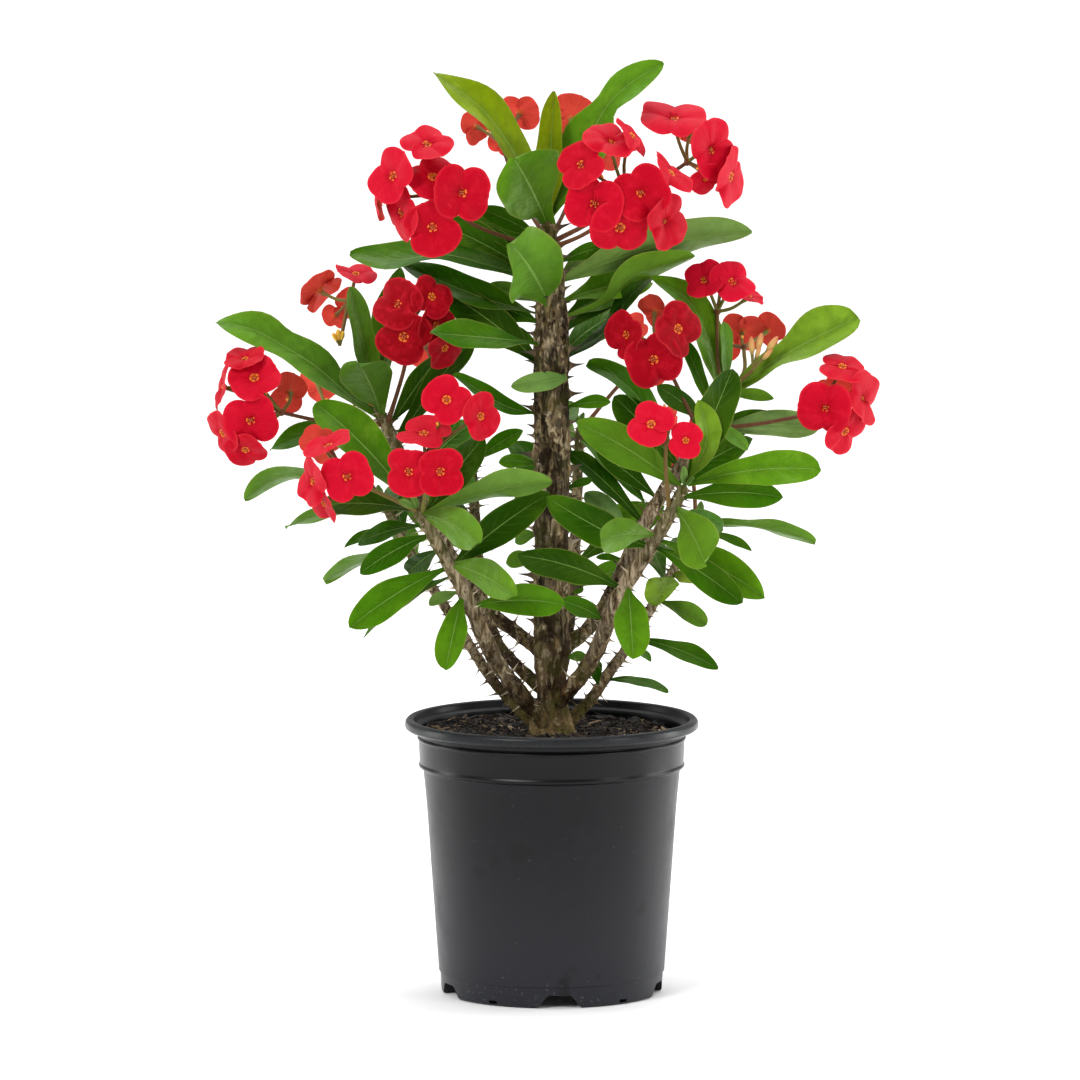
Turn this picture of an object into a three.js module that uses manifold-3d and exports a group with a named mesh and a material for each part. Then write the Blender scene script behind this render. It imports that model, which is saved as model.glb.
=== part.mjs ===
// A potted crown of thorns plant (Euphorbia milii): a ribless black nursery pot filled with bark soil, a short
// thorny trunk, eight thorny side branches, spatulate leaves and stalked bunches of red two-bract flowers.
// Millimetres, +Z up. The plant is laid out round the pot's axis, and the last lines move the group so that
// the origin is under the middle of the whole, on the surface that the pot stands on.
import * as THREE from "three";
import { mergeVertices } from "three/addons/utils/BufferGeometryUtils.js";
import Module from "manifold-3d";

const wasm = await Module();
wasm.setup();

// ---- driving dimensions ----
const GAP = 0.4; // clear space kept between neighbouring pieces
const POT_SIDES = 32;
const WALL = 1.7; // pot wall
const FOOT_R = 59; // outer edge of the flat foot ring
const FOOT_INNER_R = 54.5;
const FLOOR_UNDER = 8.6;
const FLOOR_TOP = 10.8;
// gaps in the foot, the first at so many degrees from -Y
const NOTCH = { count: 5, first: 4, top: 14, bottom: 25, height: 7.4, round: 1.8 };
const SLOT = { width: 5.2, height: 1.8, z: 2.2 };
const DRAIN = { count: 5, r: 4, ring: 36 };
const SOIL_TOP = 146;
const SOIL_R = 72.9; // at the top, just inside the wall
const SOIL_HOLE_R = 12.4;
const SOIL_HOLE_FLOOR = 94;
const STANDING_EYE = 5000; // the viewer that the layout below is read by stands this far in front of the pot
const EYE_HEIGHT = 859;
// leaf thickness at the rib, fold, wave, width/length
const BLADE = { mid: 1.4, fold: 0.22, wave: 0.05, slim: 0.27 };
const THORN = { base: 1.9, length: 8, trunkPitch: 6, branchPitch: 12 };
const STALK_R = 1.5;
const HUB_R = 2.1; // where the flower stalks of a bunch part
const FLOWER_STEP = 17; // how far a flower stands out of its bunch towards the way it faces
const BRACT_POINTS = 8;
const GOLDEN = 2.39996; // the golden angle, in radians

const POT = [
  // outer face, from the foot up
  [FOOT_R, 0], [61.9, 1.5], [63, 11.7], [63.8, 12.4], [66.7, 52], [70.7, 109], [72.6, 127.4], [74.7, 129],
  [75.5, 145.2], [74.9, 146.2], [75.1, 149.2], [80.8, 149.8], [82.6, 151.4], [82.3, 155.2], [80.6, 156],
];
const POT_INSIDE = [
  // inner face, from the lip down
  [78.2, 155.5], [77.1, 152.1], [74.2, 150.5], [73, 130], [70.9, 126], [69, 109], [65, 52], [61.6, 14],
  [58, FLOOR_TOP],
];

// Stems. A point is [x, h, depth]: where it is seen against an upright plane through the pot's axis, and how
// far behind that plane it is. radii run along the points.
const STEMS = {
  main: {
    path: [
      [0, 96, 0], [0, 120, 0], [0, 144, 0], [0, 153, 0], [0, 166, 0], [0, 181, 0], [0, 195, 0], [0, 206, 0],
      [0, 250, 0], [0, 300, 0], [0, 345, 0], [0, 380, 0],
      [-1, 402, 0], [-2, 420, 0], [-2, 433, 0], [-2, 441, 0],
    ],
    radii: [7, 9, 10.8, 11, 8.7, 8.6, 10.6, 9.8, 9.6, 9.8, 9.8, 9.4, 8, 5.6, 4.2, 2.6],
  },
  front_left: {
    path: [
      [-3, 152, -7], [-18, 170, -20], [-30, 186, -28], [-38, 201, -34], [-46, 220, -39], [-56, 240, -43],
      [-66, 258, -46], [-76, 275, -48],
    ],
    radii: [4.6, 4.6, 4.6, 4.5, 4.3, 4.1, 3.8, 3.1],
  },
  far_left: {
    path: [
      [-6, 150, 4], [-24, 166, 14], [-38, 184, 28], [-48, 200, 42], [-62, 222, 59], [-80, 250, 74],
      [-96, 281, 84],
    ],
    radii: [3.4, 3.1, 3, 3, 2.9, 2.8, 2.3],
  },
  left: {
    path: [
      [-4, 192, 3], [-22, 206, 7], [-38, 219, 13], [-55, 245, 18], [-70, 272, 22], [-83, 300, 27],
      [-94, 324, 28], [-99, 334, 28],
    ],
    radii: [4, 3.8, 3.8, 3.8, 3.8, 3.7, 3.4, 2.6],
  },
  back_left: {
    path: [
      [-4, 171, 6], [-20, 186, 22], [-30, 198, 39], [-38, 220, 59], [-42, 250, 78], [-44, 285, 94],
      [-46, 312, 102],
    ],
    radii: [3.7, 3.5, 3.4, 3.3, 3.2, 3, 2.3],
  },
  back: {
    path: [[1, 176, 6], [8, 200, 36], [12, 235, 64], [14, 275, 85], [15, 300, 95], [16, 322, 102]],
    radii: [3.7, 3.5, 3.4, 3.2, 3, 2.3],
  },
  far_right: {
    path: [
      [6, 150, 4], [22, 166, 14], [32, 181, 25], [42, 195, 39], [56, 218, 56], [70, 242, 70],
      [84, 267, 80],
    ],
    radii: [3.6, 3.3, 3.2, 3.1, 3, 2.8, 2.3],
  },
  front_right: {
    path: [
      [4, 165, -6], [18, 182, -17], [27, 198, -25], [35, 220, -34], [46, 238, -38], [57, 255, -42],
      [66, 271, -45], [75, 288, -46],
    ],
    radii: [4.2, 4.6, 4.7, 4.5, 4.3, 4.1, 3.8, 3],
  },
  right: {
    path: [
      [5, 195, 3], [20, 206, 7], [30, 220, 11], [40, 240, 15], [52, 266, 18], [68, 292, 21], [84, 316, 22],
      [98, 340, 22],
    ],
    radii: [4.2, 4.1, 4, 4, 4, 3.9, 3.7, 2.8],
  },
};
const TRUNK_TOP = 10; // the point of the main stem where the bare trunk ends and the leafy shoot begins

// Leaves. Each is [x, h of its root, x, h, depth of its tip, width as seen, side seen, any points between], and
// a point between may give its depth as well.
// The side seen is 1 for the upper side and -1 for the underside.
const LEAVES = {
  main: [
    [-3, 436, -65, 522, 14, 18, 1, [-19, 471], [-38, 499]],
    [-2, 436, 1, 510, 6, 17, 1],
    [-2, 434, -21, 472, -38, 42, 1],
    [3, 436, 62, 527, 11, 26, 1, [14, 468], [23, 487], [31, 502], [44, 515]],
    [9, 402, 112, 432, 17, 24, -1],
    [9, 380, 80, 418, 11, 12, -1, [30, 391], [42, 404]],
    [11, 355, 56, 408, 20, 10, 1, [31, 375], [42, 392]],
    [-8, 402, -113, 421, 20, 15, 1, [-33, 411], [-60, 418], [-88, 416]],
    [-9, 382, -84, 413, 17, 15, 1, [-40, 394]],
    [-11, 352, -60, 397, 14, 22, 1],
    [-2, 388, -23, 424, -70, 40, 1],
    [-9, 367, -68, 374, -48, 14, 1, [-35, 371]],
    [-9, 389, -37, 399, 25, 9, -1],
    [-9, 377, -39, 390, 17, 13, 1],
    [-9, 364, -28, 375, 8, 10, 1],
    [-6, 425, -42, 444, -6, 11, 1],
    [4, 412, 33, 423, 8, 9, 1],
    [9, 402, 22, 418, 14, 8, 1],
    [8, 350, -23, 344, -16, 11, 1, [7, 349, -12], [-5, 346, -16]],
  ],
  trunk: [
    [-9, 326, -55, 351, -11, 10, 1, [-25, 332]],
    [-9, 299, -30, 301, 17, 8, 1],
    [9, 283, 23, 291, 8, 5, 1],
    [10, 331, 33, 335, -8, 8, 1],
    [8, 190, 20, 190, -8, 6, 1],
    [8, 231, 18, 228, 11, 6, 1],
    [-9, 262, -21, 256, 11, 8, 1],
    [-8, 246, -26, 244, 11, 10, 1],
  ],
  front_left: [
    [-78, 272, -133, 335, 6, 24, 1],
    [-74, 272, -41, 255, -95, 21, -1],
    [-72, 272, 0, 290, -63, 15, -1],
    [-68, 272, -38, 315, -31, 20, 1],
    [-60, 240, -1, 283, -42, 20, 1],
    [-76, 272, -135, 276, -28, 14, 1],
    [-74, 263, -110, 255, -25, 10, 1],
    [-72, 258, -108, 238, -63, 14, 1],
    [-72, 256, -128, 233, -14, 7, -1],
    [-66, 250, -81, 238, -17, 12, 1],
    [-63, 239, -114, 207, -63, 19, 1],
    [-66, 232, -107, 202, -14, 5, 1],
    [-55, 226, -69, 220, -28, 7, -1],
    [-53, 226, -60, 183, -70, 17, 1],
    [-58, 244, -21, 225, -87, 20, -1],
    [-42, 221, 7, 220, -70, 18, 1],
  ],
  far_left: [
    [-100, 283, -173, 280, 87, 11, -1, [-150, 293]],
    [-96, 276, -150, 264, 77, 7, -1],
    [-88, 264, -117, 253, 70, 5, 1],
  ],
  left: [
    [-95, 327, -188, 382, 7, 19, 1, [-111, 336], [-134, 356], [-151, 367], [-168, 377]],
    [-95, 326, -109, 358, -21, 29, -1],
    [-98, 333, -113, 400, 17, 13, 1],
    [-97, 332, -86, 411, 42, 18, 1],
    [-96, 322, -159, 309, 31, 11, 1],
    [-85, 312, -45, 371, 17, 16, 1],
    [-88, 322, -62, 362, 34, 14, 1],
  ],
  back_left: [[-45, 300, -16, 319, 101, 10, 1]],
  front_right: [
    [70, 288, 14, 323, -70, 22, -1],
    [75, 288, 83, 336, -59, 15, 1, [87, 312]],
    [78, 288, 102, 353, -53, 21, 1],
    [76, 288, 151, 297, -70, 20, 1],
    [75, 279, 130, 281, -53, 18, 1],
    [70, 276, 87, 243, -95, 24, -1],
    [68, 270, 97, 263, -11, 12, 1],
    [54, 254, -3, 281, -63, 21, 1, [34, 260], [17, 269]],
    [60, 259, 27, 256, -87, 18, -1],
    [40, 230, -19, 248, -67, 19, 1],
    [30, 211, 6, 222, -48, 11, 1],
    [44, 232, 46, 190, -73, 20, 1],
    [60, 252, 107, 221, -56, 17, 1],
    [62, 256, 120, 224, -39, 20, 1],
  ],
  right: [
    [95, 335, 56, 406, 11, 17, 1, [88, 370], [76, 393]],
    [93, 337, 71, 403, 31, 7, 1],
    [98, 337, 171, 384, 3, 23, 1, [125, 358]],
    [98, 338, 125, 337, 6, 7, -1],
    [86, 318, 150, 320, 20, 16, 1],
    [90, 324, 110, 308, 0, 8, 1],
    [98, 340, 97, 380, 6, 8, 1],
    [66, 290, 20, 357, 25, 15, 1, [57, 324], [40, 346]],
    [72, 298, 35, 338, 20, 21, 1],
    [52, 266, 10, 307, 17, 13, 1],
    [60, 280, 25, 307, 11, 12, 1],
    [46, 254, 19, 284, 22, 14, 1],
    [56, 273, 17, 314, 31, 9, 1],
    [88, 322, 59, 344, 0, 12, 1],
    [90, 328, 74, 370, 25, 9, 1],
    [42, 246, 25, 247, 14, 4, 1],
  ],
  far_right: [
    [84, 266, 149, 257, 77, 9, -1, [112, 265]],
    [80, 262, 113, 251, 70, 5, 1],
    [66, 237, 88, 234, 42, 12, 1],
    [66, 238, 59, 220, 40, 17, 1],
    [60, 222, 88, 209, 42, 11, -1],
    [46, 201, 94, 184, 31, 11, 1],
    [30, 178, 66, 171, 8, 6, 1],
    [43, 197, 56, 188, 20, 5, 1],
  ],
};

// Leaves of the far side: [stem, how many, first and last height, shortest length, middle bearing from +Y
// towards +X]. They spread over FAR_SPREAD degrees to either side of that bearing.
const FAR_SPREAD = 65;
const FAR_LEAVES = [
  ["main", 7, 352, 428, 52, 0],
  ["trunk", 2, 262, 325, 30, -12],
  ["back_left", 6, 240, 308, 44, -42],
  ["back", 7, 222, 318, 44, 12],
  ["far_left", 3, 236, 278, 38, -25],
  ["far_right", 3, 226, 264, 40, 40],
  ["left", 3, 262, 320, 40, 0],
  ["right", 2, 272, 322, 40, 20],
];

// Bunches of flowers. stalk is the stalk's points from the stem to the fork; a flower is
// [x, h, across, degrees it is turned to the right of the viewer, degrees it looks up, and for some the
// degrees that its long way leans].
const BUNCHES = {
  a: {
    stem: "main",
    stalk: [[-4, 420, 0], [-47, 437, -28], [-60, 452, -39]],
    flowers: [
      [-70, 479, 30, 0, 55], [-88, 462, 32, -42, 12], [-67, 461, 30, 10, 40], [-51, 453, 35, 15, 5],
      [-67, 434, 34, 0, -15], [-83, 442, 33, -55, -10], [-97, 449, 24, -95, -10],
    ],
  },
  b: {
    stem: "main",
    stalk: [[3, 421, 0], [22, 432, -20], [42, 452, -35]],
    flowers: [
      [17, 468, 30, -25, 25], [33, 480, 32, 10, 60], [24, 447, 34, -5, 0], [50, 453, 33, 5, 5],
      [38, 434, 34, 0, -20], [62, 437, 32, 45, -5], [66, 463, 30, 70, 40], [44, 484, 26, 70, 35],
    ],
  },
  c: {
    stem: "main",
    stalk: [[2, 424, 3], [40, 446, 22], [76, 470, 25]],
    flowers: [
      [68, 493, 38, -8, 62, 0], [78, 487, 26, 150, 30], [88, 477, 35, 38, 10], [99, 462, 35, 68, -10],
      [86, 462, 22, 30, -30],
    ],
  },
  d: {
    stem: "main",
    stalk: [[-4, 426, 4], [-18, 452, 34], [-28, 480, 56]],
    flowers: [[-42, 490, 22, -140, 10], [-18, 497, 24, 170, 20], [-27, 482, 18, 180, -10]],
  },
  e: {
    stem: "main",
    stalk: [[2, 424, 4], [10, 450, 28], [15, 478, 49]],
    flowers: [[11, 494, 30, 165, 15], [30, 478, 26, 120, 0], [4, 474, 26, 200, -10]],
  },
  f: {
    stem: "left",
    stalk: [[-98, 332, 28], [-106, 360, 36], [-114, 392, 42]],
    flowers: [
      [-110, 406, 24, 20, 65], [-129, 397, 30, -140, 30, 30], [-121, 384, 16, -150, -30],
      [-113, 391, 18, 170, 0],
    ],
  },
  i: {
    stem: "left",
    stalk: [[-91, 322, 27], [-82, 358, 8], [-80, 378, 0]],
    flowers: [
      [-86, 390, 30, -20, 15], [-83, 372, 33, -3, -3], [-68, 394, 26, 30, 20], [-66, 378, 28, 45, 0],
      [-61, 366, 26, 40, -20],
    ],
  },
  j: {
    stem: "left",
    stalk: [[-96, 321, 27], [-128, 324, 14], [-152, 329, 7]],
    flowers: [
      [-167, 348, 30, -5, 35], [-169, 325, 32, 0, -5], [-183, 343, 27, -75, 10], [-184, 318, 27, -55, -20],
      [-172, 309, 25, -10, -35], [-172, 358, 24, -30, 60], [-147, 340, 24, -150, 0],
    ],
  },
  k: {
    stem: "front_left",
    stalk: [[-76, 272, -48], [-98, 284, -50], [-112, 290, -53]],
    flowers: [
      [-115, 293, 30, 0, 0, 15], [-133, 290, 28, -55, 0], [-127, 278, 25, -62, -25], [-125, 309, 30, -60, 60],
      [-132, 313, 20, -160, 20],
    ],
  },
  m: {
    stem: "front_left",
    stalk: [[-73, 270, -48], [-71, 288, -56], [-71, 304, -62]],
    flowers: [
      [-59, 336, 28, -5, 15], [-41, 327, 27, 35, 5], [-72, 316, 31, 0, 65], [-80, 296, 29, -15, -5, 88],
      [-63, 296, 29, 12, -5, 92],
    ],
  },
  p: {
    stem: "front_right",
    stalk: [[66, 272, -45], [64, 298, -56], [64, 312, -59]],
    flowers: [[56, 322, 27, -10, 20, 60], [75, 313, 21, 10, 15, 75]],
  },
  q: {
    stem: "right",
    stalk: [[88, 319, 22], [112, 322, 12], [146, 328, 0]],
    flowers: [
      [154, 332, 32, -15, 0], [163, 354, 28, 20, 60], [173, 337, 32, 60, 10], [164, 319, 29, 40, -25],
      [160, 340, 26, 160, 10],
    ],
  },
  r: {
    stem: "right",
    stalk: [[96, 336, 22], [93, 362, 20], [93, 386, 20]],
    flowers: [[86, 403, 25, -25, 40], [95, 405, 20, 0, 60], [101, 402, 27, 15, 35], [110, 394, 19, 60, 55]],
  },
  s: {
    stem: "right",
    stalk: [[97, 339, 22], [108, 352, 36], [108, 366, 48]],
    flowers: [[107, 374, 26, 170, 20], [121, 375, 22, 150, 20], [96, 368, 24, 190, 0]],
  },
  t: {
    stem: "right",
    stalk: [[84, 316, 22], [70, 345, 6], [60, 366, -3]],
    flowers: [[70, 376, 32, 35, 10], [57, 359, 33, 0, -5], [43, 373, 28, -45, 5], [58, 386, 22, 150, 30]],
  },
  u: {
    stem: "far_left",
    stalk: [[-92, 272, 81], [-108, 300, 101], [-120, 324, 115]],
    flowers: [[-131, 345, 24, 160, 15], [-129, 313, 27, -150, -20], [-104, 341, 22, 180, 10]],
  },
  v: {
    stem: "back_left",
    stalk: [[-46, 308, 101], [-60, 338, 118], [-70, 366, 129]],
    flowers: [[-83, 386, 24, -140, 35], [-64, 388, 24, 140, 25], [-73, 367, 25, 180, -10]],
  },
  w: {
    stem: "back",
    stalk: [[15, 318, 101], [34, 340, 120], [50, 358, 132]],
    flowers: [[46, 374, 24, -140, 25], [67, 375, 24, 140, 20], [57, 356, 24, 180, -10]],
  },
  x: {
    stem: "far_right",
    stalk: [[82, 262, 78], [80, 288, 98], [76, 308, 112]],
    flowers: [[65, 323, 22, -140, 20], [86, 322, 22, 140, 15], [75, 306, 24, 180, -10]],
  },
};

// ---- layout helpers ----
function seen(x, h, depth) {
  // The point behind the reading plane that hides behind [x, h] for a viewer with their eye at EYE_HEIGHT.
  const t = depth / STANDING_EYE;
  return new THREE.Vector3(x * (1 + t), depth, h + (h - EYE_HEIGHT) * t);
}

function lerp(a, b, t) {
  return a + (b - a) * t;
}

function stemCurve(stem) {
  return stem.path.map((p) => seen(...p));
}

function nearestOnStem(stem, x, h) {
  // The point of the stem's axis that is nearest to the reading [x, h], and the stem's radius there.
  let best = null;
  for (let i = 0; i + 1 < stem.path.length; i += 1) {
    const [ax, ah, ad] = stem.path[i];
    const [bx, bh, bd] = stem.path[i + 1];
    const along = ((x - ax) * (bx - ax) + (h - ah) * (bh - ah)) / ((bx - ax) ** 2 + (bh - ah) ** 2);
    const t = Math.min(1, Math.max(0, along));
    const reading = [lerp(ax, bx, t), lerp(ah, bh, t), lerp(ad, bd, t)];
    const miss = Math.hypot(x - reading[0], h - reading[1]);
    if (best === null || miss < best.miss) {
      best = { miss, reading, r: lerp(stem.radii[i], stem.radii[i + 1], t) };
    }
  }
  return best;
}

// ---- solids ----
function toSolid(points, faces) {
  // One closed body from its points and triangles, turned right side out.
  const geometry = new THREE.BufferGeometry();
  const numbers = points.flatMap((p) => [p.x, p.y, p.z]);
  geometry.setAttribute("position", new THREE.Float32BufferAttribute(numbers, 3));
  geometry.setIndex(faces.flat());
  return geometrySolid(geometry);
}

function geometrySolid(source) {
  const geometry = source.clone();
  geometry.deleteAttribute("normal");
  geometry.deleteAttribute("uv");
  const merged = mergeVertices(geometry, 1e-4);
  const at = merged.getAttribute("position");
  const index = merged.getIndex().array;
  const corner = [new THREE.Vector3(), new THREE.Vector3(), new THREE.Vector3()];
  const kept = [];
  let volume = 0;
  for (let i = 0; i < index.length; i += 3) {
    const tri = [index[i], index[i + 1], index[i + 2]];
    if (tri[0] === tri[1] || tri[1] === tri[2] || tri[2] === tri[0]) continue;
    corner.forEach((c, k) => c.fromBufferAttribute(at, tri[k]));
    volume += corner[0].dot(corner[1].cross(corner[2]));
    kept.push(tri);
  }
  const triVerts = new Uint32Array(kept.flatMap(([a, b, c]) => (volume < 0 ? [a, c, b] : [a, b, c])));
  const vertProperties = new Float32Array(at.array);
  return new wasm.Manifold(new wasm.Mesh({ numProp: 3, vertProperties, triVerts }));
}

function tube(points, radii, sides, turn = 0) {
  // A closed tube of flat-sided rings along points.
  const rings = [];
  let across = new THREE.Vector3(1, 0, 0);
  points.forEach((point, i) => {
    const before = points[Math.max(0, i - 1)];
    const after = points[Math.min(points.length - 1, i + 1)];
    const along = after.clone().sub(before).normalize();
    if (i === 0 && Math.abs(along.dot(across)) > 0.8) across = new THREE.Vector3(0, 1, 0);
    across = across.sub(along.clone().multiplyScalar(across.dot(along))).normalize();
    const up = along.clone().cross(across);
    for (let k = 0; k < sides; k += 1) {
      const angle = turn + (2 * Math.PI * k) / sides;
      const out = across.clone().multiplyScalar(Math.cos(angle)).addScaledVector(up, Math.sin(angle));
      rings.push(point.clone().add(out.multiplyScalar(radii[i])));
    }
  });
  const faces = [];
  for (let i = 0; i + 1 < points.length; i += 1) {
    for (let k = 0; k < sides; k += 1) {
      const a = i * sides + k;
      const b = i * sides + ((k + 1) % sides);
      faces.push([a, b, b + sides], [a, b + sides, a + sides]);
    }
  }
  const last = (points.length - 1) * sides;
  for (let k = 1; k + 1 < sides; k += 1) {
    faces.push([0, k + 1, k], [last, last + k, last + k + 1]);
  }
  return toSolid(rings, faces);
}

function spike(root, tip, r) {
  // A three-sided thorn.
  const along = tip.clone().sub(root).normalize();
  const side = new THREE.Vector3(0, 0, 1).cross(along).normalize();
  const up = along.clone().cross(side);
  const ring = [0, 1, 2].map((k) => {
    const angle = Math.PI / 2 + (2 * Math.PI * k) / 3;
    const out = side.clone().multiplyScalar(Math.cos(angle) * 0.8).addScaledVector(up, Math.sin(angle));
    return root.clone().add(out.multiplyScalar(r));
  });
  return toSolid([...ring, tip], [[0, 2, 1], [0, 1, 3], [1, 2, 3], [2, 0, 3]]);
}

function bladeOutline(s) {
  // Half the width of a spatulate leaf at s along its rib, as a share of its widest half.
  const widest = 0.62;
  if (s < widest) return 0.13 + 0.87 * Math.sin((Math.PI / 2) * (s / widest)) ** 1.7;
  return Math.sqrt(Math.max(0, 1 - ((s - widest) / (1 - widest)) ** 2.3));
}

function blade(rib, width, side, sway) {
  // A leaf along the curve rib: diamond sections, folded along the rib and waved at its edges. side 1 shows a
  // viewer in front the upper side, and -1 the underside.
  const length = rib.getLength();
  const trueWidth = Math.max(width, BLADE.slim * length);
  const roll = Math.acos(Math.min(1, width / trueWidth));
  const stations = length > 60 ? [0, 0.3, 0.62, 0.9] : length > 28 ? [0, 0.48, 0.86] : [0, 0.7];
  const toViewer = new THREE.Vector3(0, -0.993, 0.12);
  const points = [];
  stations.forEach((s, i) => {
    const middle = rib.getPointAt(s);
    const along = rib.getTangentAt(s);
    const facing = toViewer.clone().sub(along.clone().multiplyScalar(toViewer.dot(along))).normalize();
    const skyward = along.clone().cross(facing);
    if (skyward.z < 0) skyward.negate();
    const normal = facing.multiplyScalar(side * Math.cos(roll)).add(skyward.multiplyScalar(Math.sin(roll)));
    const across = normal.clone().cross(along).normalize();
    const half = (trueWidth / 2) * bladeOutline(s);
    const thick = i === 0 ? 0.5 : 1;
    for (const hand of [1, -1]) {
      const lift = half * BLADE.fold + hand * trueWidth * BLADE.wave * Math.sin(7 * s + sway);
      points.push(middle.clone().addScaledVector(across, hand * half).addScaledVector(normal, lift));
    }
    for (const hand of [1, -1]) {
      points.push(middle.clone().add(normal.clone().multiplyScalar((hand * thick * BLADE.mid) / 2)));
    }
  });
  points.push(rib.getPointAt(1));
  const faces = [[0, 2, 3], [1, 3, 2]];
  for (let i = 0; i + 1 < stations.length; i += 1) {
    const a = 4 * i;
    const b = a + 4;
    for (const rim of [0, 1]) {
      for (const face of [2, 3]) {
        const flip = rim === 0 ? face === 2 : face === 3;
        const quad = [[a + rim, b + rim, b + face], [a + rim, b + face, a + face]];
        quad.forEach(([p, q, r]) => faces.push(flip ? [p, q, r] : [p, r, q]));
      }
    }
  }
  const a = 4 * (stations.length - 1);
  const tip = a + 4;
  faces.push([a, tip, a + 2], [a, a + 3, tip], [a + 1, a + 2, tip], [a + 1, tip, a + 3]);
  return toSolid(points, faces);
}

function leafRib(root, between, tip) {
  // The rib's curve: through the given points, or one shallow arch.
  if (between.length > 0) return new THREE.CatmullRomCurve3([root, ...between, tip]);
  const middle = root.clone().add(tip).multiplyScalar(0.5);
  const flat = Math.hypot(tip.x - root.x, tip.y - root.y);
  middle.z += 0.1 * flat;
  return new THREE.QuadraticBezierCurve3(root, middle, tip);
}

function leaf(stem, entry) {
  const [x, h, tipX, tipH, tipDepth, width, side, ...between] = entry;
  const { reading, r } = nearestOnStem(stem, x, h);
  const axis = seen(...reading);
  const stops = [...between, [tipX, tipH]];
  const lengths = [];
  let from = [reading[0], reading[1]];
  let total = 0;
  for (const stop of stops) {
    total += Math.hypot(stop[0] - from[0], stop[1] - from[1]);
    lengths.push(total);
    from = stop;
  }
  const points = stops.map(([u, v, w], i) => seen(u, v, w ?? lerp(reading[2], tipDepth, lengths[i] / total)));
  const root = axis.clone().add(points[0].clone().sub(axis).setLength(r - 1.3));
  const tip = points.pop();
  return blade(leafRib(root, points, tip), width, side, x + h);
}

function farLeaves(stem, count, low, high, shortest, bearing) {
  // Leaves on the side of a stem that looks away from the viewer, a golden angle apart.
  const blades = [];
  for (let k = 0; k < count; k += 1) {
    const h = lerp(low, high, (k + 0.5) / count);
    const { reading, r } = stemAtHeight(stem, h);
    const axis = seen(...reading);
    const swing = ((k * 137.5 + bearing + 360) % (2 * FAR_SPREAD)) - FAR_SPREAD;
    const angle = THREE.MathUtils.degToRad(bearing + swing);
    const length = shortest * (1.15 + 0.25 * Math.sin(2.1 * k + bearing));
    const rise = 0.34 + 0.22 * Math.sin(1.7 * k + bearing);
    const way = new THREE.Vector3(Math.sin(angle), Math.cos(angle), rise).normalize();
    const root = axis.clone().add(way.clone().multiplyScalar(r - 1.3));
    const tip = axis.clone().add(way.multiplyScalar(r + length));
    blades.push(blade(leafRib(root, [], tip), 0.3 * length, 1, k + bearing));
  }
  return blades;
}

function stemAtHeight(stem, h) {
  const i = Math.max(0, stem.path.findIndex((p) => p[1] > h) - 1);
  const t = (h - stem.path[i][1]) / (stem.path[i + 1][1] - stem.path[i][1]);
  const reading = stem.path[i].map((v, k) => lerp(v, stem.path[i + 1][k], t));
  return { reading, r: lerp(stem.radii[i], stem.radii[i + 1], t) };
}

function thorns(stem, pitch, low, high, bare) {
  // Thorns a golden angle apart round a stem, left out where bare says so.
  const spikes = [];
  const axis = stemCurve(stem);
  let walked = 0;
  let next = pitch / 2;
  let k = 0;
  for (let i = 0; i + 1 < axis.length; i += 1) {
    const step = axis[i].distanceTo(axis[i + 1]);
    for (; next < walked + step; next += pitch) {
      const t = (next - walked) / step;
      const at = axis[i].clone().lerp(axis[i + 1], t);
      k += 1;
      if (at.z < low || at.z > high || bare(at)) continue;
      const along = axis[i + 1].clone().sub(axis[i]).normalize();
      const reach = new THREE.Vector3(Math.sin(k * GOLDEN), -Math.cos(k * GOLDEN), 0);
      const out = reach.sub(along.clone().multiplyScalar(reach.dot(along))).normalize();
      const r = lerp(stem.radii[i], stem.radii[i + 1], t);
      const slim = r > 6 ? 1 : 0.75;
      const root = at.clone().add(out.clone().multiplyScalar(r - 1.6));
      const long = slim * THORN.length * (0.85 + 0.25 * Math.sin(3.7 * k));
      const tip = at.clone().addScaledVector(out, r + long);
      tip.z += 1.5;
      spikes.push(spike(root, tip, slim * THORN.base));
    }
    walked += step;
  }
  return spikes;
}

function stalk(stem, points) {
  // A flower stalk that leaves the stem's axis and stops just short of the fork.
  const [first, ...rest] = points;
  const { reading } = nearestOnStem(stem, first[0], first[1]);
  const path = [reading, ...rest].map((p) => seen(...p));
  const end = path[path.length - 1];
  const before = path[path.length - 2];
  path[path.length - 1] = end.clone().add(before.clone().sub(end).setLength(HUB_R + 2 * GAP));
  return tube(path, path.map(() => STALK_R), 5);
}

function look(turned, up) {
  const a = THREE.MathUtils.degToRad(turned);
  const e = THREE.MathUtils.degToRad(up);
  return new THREE.Vector3(Math.sin(a) * Math.cos(e), -Math.cos(a) * Math.cos(e), Math.sin(e));
}

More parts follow.
